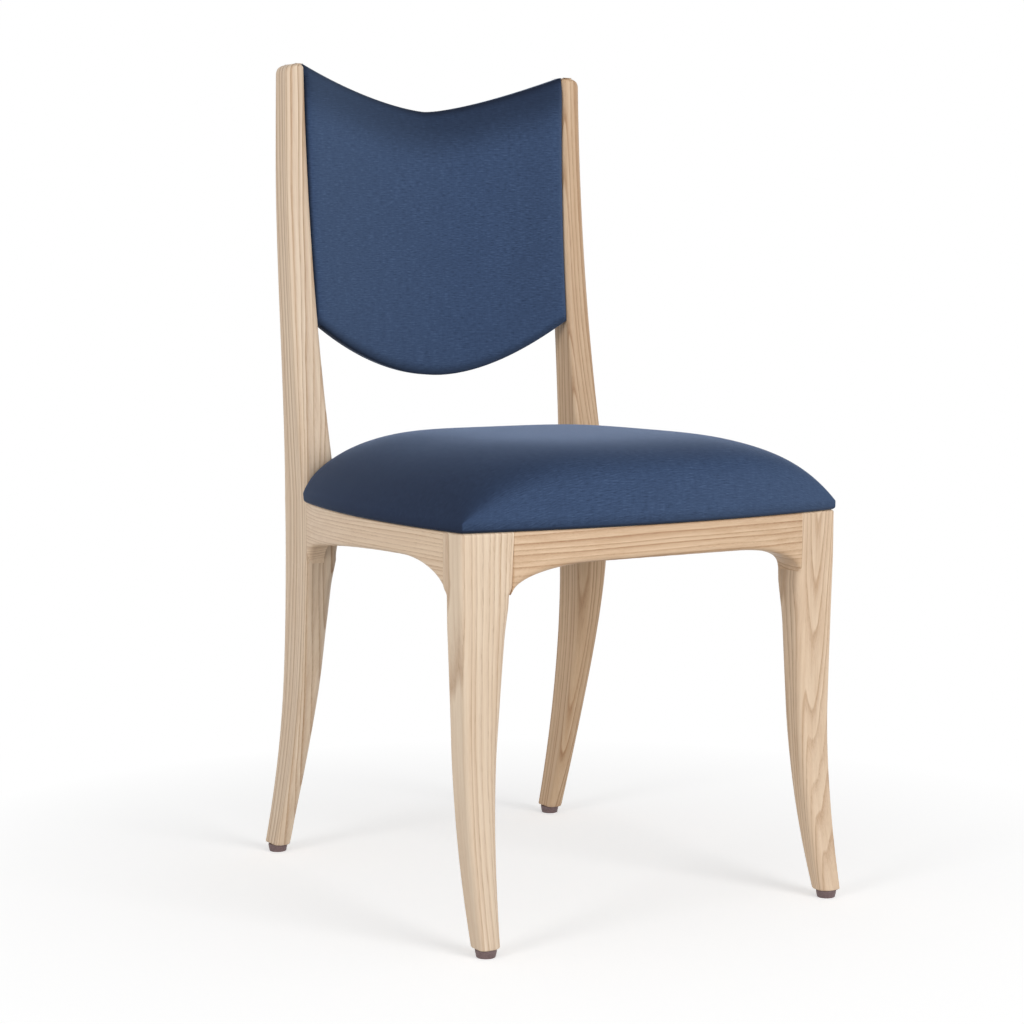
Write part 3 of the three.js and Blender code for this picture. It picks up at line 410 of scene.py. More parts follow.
front_rail_rings, side_rail_rings, back_rail_rings = [], [], []
for x, ease in rail_places(-FRONT_JOINT_HALF_WIDTH, FRONT_JOINT_HALF_WIDTH, 130):
    joint = math.copysign(FRONT_JOINT_HALF_WIDTH, x)
    ring = rail_section(frame_front(x), front_rail_back(x), front_rail_low, joint, x, ease)
    front_rail_rings.append([(x, depth + SHIFT_Y, z) for depth, z in ring])
for y, ease in rail_places(FRONT_LEG_BACK, REAR_JOINT_DEPTH, 120):
    joint = REAR_JOINT_DEPTH if y > -0.03 else FRONT_LEG_BACK
    ring = rail_section(frame_side(y), frame_side(y) - RAIL_THICKNESS, side_rail_low, joint, y, ease)
    side_rail_rings.append([(x, y + SHIFT_Y, z) for x, z in ring])
for x, ease in rail_places(-REAR_LEG_INNER, REAR_LEG_INNER, 60):
    joint = math.copysign(REAR_LEG_INNER, x)
    ring = rail_section(BACK_RAIL_REAR, BACK_RAIL_REAR - RAIL_THICKNESS, back_rail_low, joint, x, ease)
    back_rail_rings.append([(x, depth + SHIFT_Y, z) for depth, z in ring])
front_rail = loft("front_rail_ash", front_rail_rings)
side_rail_right = loft("side_rail_right_ash", side_rail_rings)
side_rail_left = loft("side_rail_left_ash", mirrored(side_rail_rings))
back_rail = loft("back_rail_ash", back_rail_rings)
print("Four rails lofted")

# %% [markdown]
# ## The seat cushion
# The cushion is foam over a plywood board, pulled tight under a cloth cover. Its plan follows the seat frame,
# and its dome rises steeply at the edge and then flattens. A sculpted blob would lose the straight hem along
# the rails, so the dome is a grid of points whose rows are spaced evenly along the curve of the cloth. The
# rear corners have to clear the stiles: every point that would lie inside a stile slides out to its corner,
# as cloth does when it is tucked round a post.

# %% Cushion dome
CUSHION_BASE = SEAT_FRAME_TOP + FIT_GAP
BORDER, CROWN = 0.0095, 0.073
OVERHANG, CUSHION_REAR = 0.0008, 0.169
SEAT_STEPS = 120


def even_shares(profile, steps):
    """Shares from -1 to 1 whose points lie evenly along a profile given for shares from 0 to 1."""
    fine = 1 - (1 - np.linspace(0, 1, 6001)) ** 4
    points = profile(fine)
    run = np.concatenate([[0], np.cumsum(np.hypot(*np.diff(points, axis=1)))])
    half = np.interp(np.linspace(0, run[-1], steps // 2 + 1), run, fine)
    return np.concatenate([-half[:0:-1], half])


def crown_share(across, along):
    return (1 - np.abs(across) ** 4.48) ** 0.79 * (1 - np.abs(along) ** 3.7) ** 0.21


def seat_plan(across, along, inset):
    row = (along + 1) / 2
    front, rear = -CORNER_DEPTH - OVERHANG + inset, CUSHION_REAR - inset
    corner = 0.0005 * np.abs(across * along) ** 14
    straight = front + (rear - front) * row
    loss = 0.2034 - frame_side(CUSHION_REAR)
    half = frame_side(straight) + loss * row**2 + OVERHANG - inset - corner
    bow = FRONT_BOW * (1 - across**2) * (1 - row)
    return across * half, straight - bow - np.sign(along) * corner


def round_stiles(x, y, z, clearance):
    """Slides points out of the stiles along the diagonal, with a soft edge."""
    soft = 0.0014
    past_inner = np.abs(x) - (rear_leg_inner(np.maximum(z, SEAT_FRAME_TOP)) - clearance)
    past_front = y - (rear_leg_front(np.maximum(z, SEAT_FRAME_TOP)) - clearance)
    lesser = -soft * np.logaddexp(-past_inner / soft, -past_front / soft)
    push = soft * np.logaddexp(0, lesser / soft)
    return x - np.sign(x) * push, y - push


across_shares = even_shares(lambda s: np.array([0.225 * s, CROWN * crown_share(s, 0.0)]), SEAT_STEPS)
along_shares = even_shares(lambda t: np.array([0.215 * t, CROWN * crown_share(0.0, t)]), SEAT_STEPS)
across, along = np.meshgrid(across_shares, along_shares)
dome_x, dome_y = seat_plan(across, along, 0.0)
dome_z = CUSHION_BASE + BORDER + CROWN * crown_share(across, along)
dome_x, dome_y = round_stiles(dome_x, dome_y, dome_z, 2 * FIT_GAP)
dome = np.stack([dome_x, dome_y + SHIFT_Y, dome_z], 2)
print("Dome rises to", round(1000 * dome_z.max(), 1), "mm above the floor")

# %% [markdown]
# ## Filling the covers
# Foam presses a cover outward, and stitching and staples hold its rim. Cloth simulation gives that fullness:
# the sheet is copied to an object of its own, its rim is pinned, and a gentle pressure works on it for twenty
# frames with gravity off. Only how far each point moved is kept. It is capped at a millimetre or so, because
# this cover is pulled tight, and averaged over its neighbours, because a tight cover has no creases. The
# cover then still fits its frame.


# %% Cloth under pressure
FILL_FRAMES, FILL_PRESSURE, FILL_STIFFNESS, EVEN_PASSES = 20, 4.0, 25.0, 60


def grid_faces(rows, columns):
    return [
        (r * columns + c, r * columns + c + 1, (r + 1) * columns + c + 1, (r + 1) * columns + c)
        for r in range(rows - 1) for c in range(columns - 1)
    ]


def filled(name, sheet, cap, pinned_rows=2):
    """Pressure on a sheet of cloth with its rim pinned: the points, moved by no more than the cap."""
    rows, columns = sheet.shape[:2]
    cloth = placed(name, mesh_of(name, sheet.reshape(-1, 3), faces=grid_faces(rows, columns)))
    index = np.arange(rows * columns).reshape(rows, columns)
    rim = np.ones((rows, columns), bool)
    rim[pinned_rows:-pinned_rows, pinned_rows:-pinned_rows] = False
    pins = cloth.vertex_groups.new(name="pins")
    pins.add([int(i) for i in index[rim]], 1.0, "REPLACE")
    rules = cloth.modifiers.new("fill", "CLOTH").settings
    rules.use_pressure, rules.uniform_pressure_force = True, FILL_PRESSURE
    rules.vertex_group_mass = "pins"
    rules.effector_weights.gravity = 0.0
    rules.tension_stiffness = rules.compression_stiffness = FILL_STIFFNESS
    rules.quality = 6
    for step in range(1, FILL_FRAMES + 1):
        bpy.context.scene.frame_set(step)
    held = cloth.evaluated_get(bpy.context.evaluated_depsgraph_get())
    moved = np.array([v.co for v in held.data.vertices]).reshape(sheet.shape) - sheet
    bpy.context.scene.frame_set(1)
    bpy.data.objects.remove(cloth)
    length = np.linalg.norm(moved, axis=2, keepdims=True)
    print(name, "swelled by up to", round(1000 * float(length.max()), 1), "mm before the cap")
    moved = moved * cap * np.tanh(length / cap) / np.maximum(length, 1e-9)
    for _ in range(EVEN_PASSES):
        moved[1:-1, 1:-1] = (moved[:-2, 1:-1] + moved[2:, 1:-1] + moved[1:-1, :-2] + moved[1:-1, 2:]) / 4
    return sheet + moved


dome = filled("seat_fill", dome, 0.0012)

# %% [markdown]
# ## Closing the cushion
# The cover turns under in a small roll at its lower edge, which leaves the thin dark line between cloth and
# wood, and ends in a hem that is stapled below the board. The material paints that line and the lowest part
# of the cover darker still, as painted shade. A small class grows such a cover: it keeps the points, the faces
# and the last ring, and joins each new ring or grid to it. Here the rings walk round the roll and the hem, and
# one flat face closes the body. A UV map in metres goes with the cloth, so the weave keeps its scale wherever
# the cover bends.


# %% Cushion body
def rim_of(rows, columns):
    """Row and column of each point of a grid's rim, once round."""
    rim = [(0, c) for c in range(columns - 1)] + [(r, columns - 1) for r in range(rows - 1)]
    return rim + [(rows - 1, c) for c in range(columns - 1, 0, -1)] + [(r, 0) for r in range(rows - 1, 0, -1)]


def straight_threads(sheet, along_axis):
    """UV places in metres: the arc length of the middle row and column, corrected so that threads stay straight."""
    row, column = sheet[sheet.shape[0] // 2], sheet[:, sheet.shape[1] // 2]
    runs = []
    for line in (row, column):
        run = np.concatenate([[0], np.cumsum(np.linalg.norm(np.diff(line, axis=0), axis=1))])
        runs.append(run - run[len(run) // 2])
    u = runs[0][None, :] + sheet[..., 0] - row[None, :, 0]
    v = runs[1][:, None] + sheet[..., along_axis] - column[:, None, along_axis]
    return u, v


class Cover:
    """A closed cover that grows from grids of points and from rings round their rims, with its UV map in metres."""

    def __init__(self, sheet, along_axis):
        self.points, self.faces, self.places, self.last = [], [], [], None
        self.rim = tuple(np.array(rim_of(*sheet.shape[:2])).T)
        self.u, self.v = straight_threads(sheet, along_axis)

    def add_points(self, points, u, v):
        start = len(self.points)
        self.points += [tuple(p) for p in points]
        self.places += list(zip(u, v))
        return start

    def join(self, ring):
        if self.last is not None:
            self.faces += bridge(self.last, ring)
        self.last = ring

    def add_sheet(self, sheet, flipped=False):
        """A grid of points, joined to the last ring if there is one."""
        start = self.add_points(sheet.reshape(-1, 3), self.u.ravel(), self.v.ravel())
        self.join((start + self.rim[0] * sheet.shape[1] + self.rim[1]).tolist())
        turn = -1 if flipped else 1
        self.faces += [tuple(start + i for i in face[::turn]) for face in grid_faces(*sheet.shape[:2])]

    def add_ring(self, points, shift_u=0.0, shift_v=0.0):
        start = self.add_points(points, self.u[self.rim] + shift_u, self.v[self.rim] + shift_v)
        self.join(list(range(start, len(self.points))))

    def made(self, name, sharp_angle):
        piece = new_piece(name, self.points, self.faces, sharp_angle)
        layer = piece.data.uv_layers.new(name="weave")
        for loop in piece.data.loops:
            layer.data[loop.index].uv = self.places[loop.vertex_index]
        return piece


def add_attribute(piece, name, values):
    piece.data.attributes.new(name, "FLOAT", "POINT").data.foreach_set("value", np.array(values, np.float32))


ROLL, HEM, STILE_HEM, HEM_RISE, UV_STEP = 0.0036, 0.022, 0.009, 0.0026, 0.002
under = [(0.0, (ROLL + BORDER) / 2)]
under += [(ROLL * (1 - math.cos(a)), ROLL * (1 - math.sin(a))) for a in np.linspace(0, math.pi / 2, 6)]
under += [(0.008, 0.0), (0.015, 0.0), (HEM - 0.001, 0.0), (HEM, 0.0006), (HEM, HEM_RISE)]
seat_cover = Cover(dome, 1)
seat_cover.add_sheet(dome)
rim_across, rim_along = across[seat_cover.rim], along[seat_cover.rim]
rim_end, rim_side = (np.isin(numbers, (0, SEAT_STEPS)) for numbers in seat_cover.rim)
drop = 0.0
for inset, rise in under:
    x, y = seat_plan(rim_across, rim_along, inset)
    z = np.full(len(x), CUSHION_BASE + rise)
    x, y = round_stiles(x, y, z, 2 * FIT_GAP + inset * STILE_HEM / HEM)
    drop += UV_STEP
    shift_u, shift_v = drop * np.sign(rim_across) * rim_side, drop * np.sign(rim_along) * rim_end
    seat_cover.add_ring(np.stack([x, y + SHIFT_Y, z], 1), shift_u, shift_v)
seat_cover.faces.append(tuple(seat_cover.last))
seat_cushion = seat_cover.made("seat_cushion_cloth", 70)
seat_z = np.array(seat_cover.points)[:, 2]
# Painted shade: the cloth is painted darker over its lowest 12 mm, and darker still in the roll under its edge, where
# shade falls between cushion and rail.
add_attribute(seat_cushion, "painted_edge_shade", 1 - clamp((seat_z - CUSHION_BASE) / 0.012))
add_attribute(seat_cushion, "painted_crease_shade", 1 - clamp((seat_z - CUSHION_BASE - 0.0008) / 0.0028))
print("Cushion has", len(seat_cushion.data.polygons), "faces")

# %% [markdown]
# ## The upholstered back
# The back is a shallow dish between the stiles, with a dip in its top edge and a rounded lower edge. Its
# cover is one sheet stretched over thin foam and turned round every edge. The front sheet is a grid that is
# filled like the seat's, its rim rolls back to the plywood core, and a second covered panel closes it behind.

# %% Back pad
BACK_STEPS = 90
BOTTOM_CENTRE = SEAT_FRAME_TOP + (CHAIR_HEIGHT - SEAT_FRAME_TOP) * 0.2771
CORE_REAR, PAD_ROLL = 0.0198, 0.006


def back_height(across, along):
    spread = np.abs(across)
    top = CHAIR_HEIGHT - FIT_GAP - 0.0455 * (1 - spread**1.45)
    bottom = BOTTOM_CENTRE + 0.063 * spread**1.9
    return bottom + (top - bottom) * (along + 1) / 2


def back_point(across, along, inset, layer):
    z = back_height(across, along) - inset * along
    x = across * (rear_leg_inner(z) - FIT_GAP - inset)
    dish = 0.027 * (1 - (x / rear_leg_inner(z)) ** 2)
    return np.stack([x, rear_leg_front(z) - 0.001 + dish + layer + SHIFT_Y, z], -1)


def back_edge(across, along):
    return (1 - np.abs(across) ** 16) ** 0.5 * (1 - np.abs(along) ** 13) ** 0.5


back_across = even_shares(lambda s: np.array([0.172 * s, PAD_ROLL * back_edge(s, 0.0)]), BACK_STEPS)
back_along = even_shares(lambda t: np.array([0.16 * t, PAD_ROLL * back_edge(0.0, t)]), BACK_STEPS)
pad_across, pad_along = np.meshgrid(back_across, back_along)
pad = back_point(pad_across, pad_along, 0.0, 0.0)
pad[..., 1] += PAD_ROLL * (1 - back_edge(pad_across, pad_along)) + 0.0035 * clamp((pad_along - 0.80) / 0.20) ** 2
pad = filled("back_fill", pad, 0.0008)
# Painted shade: the pad is painted darker along its top and bottom edges and over its upper part, and darker still in
# thin lines at its top and bottom rims.
pad_edge_shade = 1 - clamp((1 - np.abs(pad_along)) * 0.16 / 0.014)
pad_edge_shade = np.maximum(pad_edge_shade, 0.95 * smooth((pad_along - 0.56) / 0.34)).ravel()
pad_crease_shade = np.maximum(0.7 * clamp((pad_along - 0.955) / 0.04), 0.3 * clamp((-pad_along - 0.93) / 0.05)).ravel()
pad_cover = Cover(pad, 2)
pad_cover.add_sheet(pad)
rim_s, rim_t = pad_across[pad_cover.rim], pad_along[pad_cover.rim]
for inset, layer in ((0.0, 0.011), (0.0, CORE_REAR - 0.002), (0.0008, CORE_REAR - 0.0006), (0.002, CORE_REAR)):
    pad_cover.add_ring(back_point(rim_s, rim_t, inset, layer), shift_v=layer * np.sign(rim_t))
pad_cover.add_sheet(back_point(pad_across, pad_along, 0.004, CORE_REAR), flipped=True)
back_pad = pad_cover.made("back_pad_cloth", 60)
rest = len(pad_cover.points) - len(pad_edge_shade)
# Painted shade: the rolled rim and the back sheet are painted fully darker, with some of the crease shade as well.
add_attribute(back_pad, "painted_edge_shade", np.concatenate([pad_edge_shade, np.full(rest, 1.0)]))
add_attribute(back_pad, "painted_crease_shade", np.concatenate([pad_crease_shade, np.full(rest, 0.3)]))
print("Back pad has", len(back_pad.data.polygons), "faces")

# %% [markdown]
# ## The rear panel of the back
# A thin board wrapped in the same cloth closes the back. It is a flat pillow with a softly rolled edge, set
# in a few millimetres from the edge of the pad, and it is made as the pad was: a front and a rear sheet that
# share a rolled rim.


# %% Rear panel
def thin_pillow(name, place, steps, thickness, roll, along_axis):
    """A closed panel between two sheets: place(across, along, inset, layer) gives its points."""
    shares = np.sin(np.linspace(-math.pi / 2, math.pi / 2, steps + 1)) * 0.5 + np.linspace(-1, 1, steps + 1) * 0.5
    s, t = np.meshgrid(shares, shares)
    near, far = place(s, t, roll, 0.0), place(s, t, roll, thickness)
    cover = Cover(far, along_axis)
    cover.add_sheet(near, flipped=True)
    for angle in np.linspace(0, math.pi, 9)[1:-1]:
        inset, layer = roll * (1 - math.sin(angle)), thickness / 2 * (1 - math.cos(angle))
        cover.add_ring(place(s[cover.rim], t[cover.rim], inset, layer))
    cover.add_sheet(far)
    piece = cover.made(name, 60)
    add_attribute(piece, "painted_edge_shade", [0.0] * len(cover.points))
    return piece


REAR_FRONT, REAR_THICKNESS = CORE_REAR + FIT_GAP, 0.0034
rear_panel = thin_pillow(
    "back_rear_panel_cloth",
    lambda s, t, inset, layer: back_point(s, t, 0.005 + inset, REAR_FRONT + layer),
    60, REAR_THICKNESS, 0.0017, 2,
)
print("Rear panel closed")

# %% [markdown]
# ## The dust cover
# Black non-woven cloth is stretched under the seat board and stapled along its edge. It is a thin sheet that
# sags by a millimetre or two in the middle. Two flat grids a millimetre apart, closed at the rim, are enough.


# %% Dust cover
DUST_BASE = 0.4229


def dust_place(s, t, inset, layer):
    x, y = seat_plan(s, t, HEM + FIT_GAP + inset)
    z = DUST_BASE + layer
    x, y = round_stiles(x, y, np.full(np.shape(x), z), 2 * FIT_GAP + STILE_HEM + FIT_GAP + inset)
    sag = 0.0022 * (1 - np.abs(s) ** 2) * (1 - np.abs(t) ** 2)
    return np.stack([x, y + SHIFT_Y, np.broadcast_to(z, np.shape(x)) - sag], -1)


dust_cover = thin_pillow("seat_dust_cover_cloth", dust_place, 50, 0.0011, 0.0005, 1)

# %% [markdown]
# ## The grain of ash
# Ash has strong growth rings: each year starts with a line of open pores, which shows as a darker stripe, and
# ends in smooth pale wood. An image would repeat and would not turn the corners of a leg. A solid texture is
# better: rings are drawn round a pith line that lies some way outside the piece, so a face cut along them
# shows straight lines and a face cut across the curve shows long V figures. Each piece gets its own Mapping,
# as each is sawn from its own board. The legs are sawn so that the grain follows their sweep: a point
# attribute keeps, for each point, its place on the leg as if the leg were nearly straight, and the texture
# reads that.


# %% Node helpers
def linear(*srgb):
    """A colour written as 0 to 255 in sRGB, as linear light."""
    shares = [value / 255 for value in srgb]
    return tuple(c / 12.92 if c <= 0.04045 else ((c + 0.055) / 1.055) ** 2.4 for c in shares) + (1.0,)


class Tree:
    """Short names for building the nodes of a material, a world or a Geometry Nodes group."""

    def __init__(self, owner, group, output):
        self.owner, self.nodes, self.links = owner, group.nodes, group.links
        self.nodes.clear()
        self.out = self.nodes.new(output)

    def add(self, kind, inputs=None, **settings):
        node = self.nodes.new(kind)
        for key, value in settings.items():
            setattr(node, key, value)
        for key, value in (inputs or {}).items():
            self.feed(node.inputs[key], value)
        return node

    def feed(self, socket, value):
        if isinstance(value, bpy.types.NodeSocket):
            self.links.new(value, socket)
        else:
            socket.default_value = value

    def math(self, operation, first, second=0.0, third=0.0):
        return self.add("ShaderNodeMath", {0: first, 1: second, 2: third}, operation=operation).outputs[0]

    def vector(self, operation, first, second=(0, 0, 0)):
        node = self.add("ShaderNodeVectorMath", {0: first, 1: second}, operation=operation)
        return node.outputs["Value" if operation in ("LENGTH", "DOT_PRODUCT") else "Vector"]

    def noise(self, place, stretch, detail, roughness=0.5, output="Fac"):
        """Noise on a place that is multiplied by one factor along each axis."""
        node = self.add("ShaderNodeTexNoise", {
            "Vector": self.vector("MULTIPLY", place, stretch), "Scale": 1.0, "Detail": detail, "Roughness": roughness,
        })
        return node.outputs[output]

    def ramp(self, value, stops):
        node = self.add("ShaderNodeValToRGB", {"Fac": value})
        elements = node.color_ramp.elements
        while len(elements) < len(stops):
            elements.new(0.5)
        for element, (place, tone) in zip(elements, stops):
            element.position = place
            element.color = (tone, tone, tone, 1.0) if isinstance(tone, float) else tone
        return node.outputs["Color"]

    def mix(self, share, first, second, blend="MIX"):
        node = self.add("ShaderNodeMix", data_type="RGBA", blend_type=blend)
        self.feed(node.inputs["Factor"], share)
        self.feed(node.inputs[6], first)
        self.feed(node.inputs[7], second)
        return node.outputs[2]

    def tint(self, colour, share, amount, tone):
        """A colour moved towards a tone by a share times an amount."""
        return self.mix(self.math("MULTIPLY", share, amount), colour, tone)

    def bump(self, height, strength, depth):
        node = self.add("ShaderNodeBump", {"Strength": strength, "Distance": depth, "Height": height})
        return node.outputs["Normal"]

    def seen_directly(self):
        """1 for rays from the camera and for those that glossy and clear surfaces send on."""
        path = self.add("ShaderNodeLightPath")
        other = self.math("MAXIMUM", path.outputs["Is Glossy Ray"], path.outputs["Is Transmission Ray"])
        return self.math("MAXIMUM", path.outputs["Is Camera Ray"], other)

    def surface(self, shader):
        self.links.new(shader.outputs[0], self.out.inputs["Surface"])
        return self.owner


def new_material(name):
    material = bpy.data.materials.new(name)
    material.use_nodes = True
    return Tree(material, material.node_tree, "ShaderNodeOutputMaterial")


SWEEP_FOLLOWED = 0.86
GRAIN_TURNS = {"X": (0.0, -math.pi / 2, 0.0), "Y": (math.pi / 2, 0.0, 0.0), "Z": (0.0, 0.0, 0.0)}


# %% Grain that follows a leg
def add_grain(piece, middle_y=None, middle_x=None):
    """A point attribute with each point's place in its board, the sweep of a leg mostly taken out."""
    places = np.array([v.co for v in piece.data.vertices])
    if middle_y is not None:
        z = places[:, 2].copy()
        places[:, 1] -= SWEEP_FOLLOWED * (middle_y(z) - middle_y(SEAT_FRAME_TOP))
        places[:, 0] -= SWEEP_FOLLOWED * np.sign(places[:, 0]) * (middle_x(z) - middle_x(SEAT_FRAME_TOP))
    layer = piece.data.attributes.new("grain", "FLOAT_VECTOR", "POINT")
    layer.data.foreach_set("vector", places.astype(np.float32).ravel())


def rear_middle(z):
    return (rear_leg_front(z) + rear_leg_back(z)) / 2


def rear_middle_x(z):
    return (rear_leg_outer(z) + rear_leg_inner(z)) / 2


def front_middle(z):
    return -front_kick(z) - foot_thinning(z) / 2


def front_middle_x(z):
    return (front_leg_inner(z) + FRONT_FOOT_OUTER) / 2


for piece in (front_leg_right, front_leg_left):
    add_grain(piece, front_middle, front_middle_x)
for piece in (rear_leg_right, rear_leg_left):
    add_grain(piece, rear_middle, rear_middle_x)
for piece in (front_rail, side_rail_right, side_rail_left, back_rail):
    add_grain(piece)
print("Eight boards marked")


# %% Ash
def ash(name, piece, axis, pith, lean, spacing, tone, contrast, seed):
    """Solid ash for one piece: its grain axis, the pith's offset from its centre, and a small lean of the grain."""
    tree = new_material(name)
    points = np.array([v.co for v in piece.data.vertices])
    centre = Vector((points.min(0) + points.max(0)) / 2)
    turn = Euler((lean[0], lean[1], 0.0)).to_matrix() @ Euler(GRAIN_TURNS[axis]).to_matrix()
    place = Vector((pith[0], pith[1], seed)) - turn @ centre
    mapping = tree.add("ShaderNodeMapping", {
        "Vector": tree.add("ShaderNodeAttribute", attribute_name="grain").outputs["Vector"],
        "Location": place, "Rotation": turn.to_euler(),
    })
    local = mapping.outputs["Vector"]

    def shade(*srgb):
        return linear(*(value * share for value, share in zip(srgb, tone)))

    def sway(stretch, detail, reach):
        swirl = tree.noise(local, stretch, detail, output="Color")
        return tree.vector("MULTIPLY", tree.vector("SUBTRACT", swirl, (0.5, 0.5, 0.5)), (reach, reach, 0.0))

    bent = tree.vector("ADD", local, sway((14.0, 14.0, 2.4), 1.5, 0.012))
    bent = tree.vector("ADD", bent, sway((90.0, 90.0, 9.0), 2.0, 0.0022))
    radius = tree.vector("LENGTH", tree.vector("MULTIPLY", bent, (1.0, 1.0, 0.0)))
    years = tree.math("MULTIPLY", radius, 1 / spacing)
    uneven = tree.add("ShaderNodeTexNoise", {
        "W": tree.math("MULTIPLY", years, 0.37), "Scale": 1.0, "Detail": 1.0}, noise_dimensions="1D")
    years = tree.math("MULTIPLY_ADD", uneven.outputs["Fac"], 1.9, years)
    year_place = tree.math("FRACT", years)
    early = tree.ramp(year_place, [
        (0.0, 0.5), (0.06, 1.0), (0.17, 0.74), (0.36, 0.34), (0.66, 0.1), (0.95, 0.0), (1.0, 0.45)])
    year_tone = tree.add("ShaderNodeTexWhiteNoise", {"W": tree.math("FLOOR", years)}, noise_dimensions="1D")
    fibre = tree.noise(local, (1100.0, 1100.0, 14.0), 3.0, 0.6)
    streak = tree.noise(local, (230.0, 230.0, 3.6), 3.0, 0.6)
    cloud = tree.noise(local, (36.0, 36.0, 5.0), 2.0)
    pore = tree.noise(local, (2400.0, 2400.0, 60.0), 1.0)
    strength = tree.math("MULTIPLY_ADD", year_tone.outputs["Value"], 0.55, 0.45)
    strength = tree.math("MULTIPLY", strength, tree.math("MULTIPLY_ADD", cloud, 1.0, 0.42))
    dark = tree.math("MULTIPLY", early, strength)
    streaks, fibres = tree.ramp(streak, [(0.38, 0.0), (0.64, 1.0)]), tree.ramp(fibre, [(0.3, 0.0), (0.7, 1.0)])
    pores = tree.ramp(pore, [(0.54, 0.0), (0.63, 1.0)])
    pores = tree.math("MULTIPLY", pores, tree.math("MULTIPLY_ADD", early, 0.9, 0.08))
    colour = tree.tint(shade(229, 208, 183), dark, contrast, shade(174, 136, 101))
    colour = tree.tint(colour, streaks, 0.42 * min(contrast, 1.1), shade(198, 166, 134))
    colour = tree.tint(colour, pores, 0.5, shade(150, 112, 80))
    colour = tree.tint(colour, fibres, 0.2, shade(243, 228, 208))
    height = tree.math("MULTIPLY_ADD", pores, -0.8, tree.math("MULTIPLY", fibre, 0.35))
    shader = tree.add("ShaderNodeBsdfPrincipled", {
        "Base Color": colour, "Normal": tree.bump(height, 0.22, 0.0004),
        "Roughness": tree.math("MULTIPLY_ADD", early, 0.1, tree.math("MULTIPLY_ADD", fibre, 0.08, 0.4)),
        "Specular IOR Level": 0.35, "Coat Weight": 0.05, "Coat Roughness": 0.35,
    })
    return tree.surface(shader)


PALE, WARM, HONEY, DEEP_TONE_AND_SHADE = (1.0, 1.0, 1.0), (0.99, 0.97, 0.95), (0.965, 0.92, 0.87), (0.92, 0.87, 0.81)
# piece, grain axis, pith, lean, ring spacing, tone and contrast
ASH_PIECES = [
    (front_leg_right, "Z", (0.007, -0.0306), (-0.08, 0.0), 0.0036, WARM, 0.95),
    (front_leg_left, "Z", (-0.150, -0.030), (0.0, 0.022), 0.0056, PALE, 0.9),
    # The rear right leg's darker tone is partly its own board and partly painted shade, as the leg stands behind the
    # seat.
    (rear_leg_right, "Z", (0.110, 0.130), (-0.01, 0.012), 0.0044, DEEP_TONE_AND_SHADE, 1.25),
    (rear_leg_left, "Z", (0.120, -0.130), (0.01, -0.01), 0.0044, PALE, 1.4),
    (front_rail, "X", (0.110, 0.010), (0.0, 0.012), 0.0062, HONEY, 1.2),
    (side_rail_right, "Y", (0.010, 0.120), (0.0, 0.0), 0.0044, WARM, 0.8),
    (side_rail_left, "Y", (0.010, 0.130), (0.01, 0.0), 0.0044, WARM, 0.8),
    (back_rail, "X", (0.120, 0.020), (0.0, 0.0), 0.0046, WARM, 0.9),
]
for number, (piece, *cut) in enumerate(ASH_PIECES):
    piece.data.materials.append(ash(f"ash_{piece.name}", piece, *cut, 0.37 * number))
print(len(ASH_PIECES), "pieces of ash, each from its own board")

# %% [markdown]
# ## Blue cloth
# The cover is a plain weave whose cross threads vary in thickness, so short pale and dark dashes run across
# it. They are noise stretched along the threads, read from the UV map in metres. Two sine waves at thread
# spacing give the fine relief, and the Sheen layer gives the pale bloom that cloth shows where the eye meets
# it at a low angle. The colour also holds painted light and shade: by the surface's own direction, faces
# turned to the left are painted darker and faces turned to the right paler, and two point attributes paint
# shade along the edges and creases of the covers.


# %% Cloth
WARP_SPACING, WEFT_SPACING = 0.0009, 0.0008


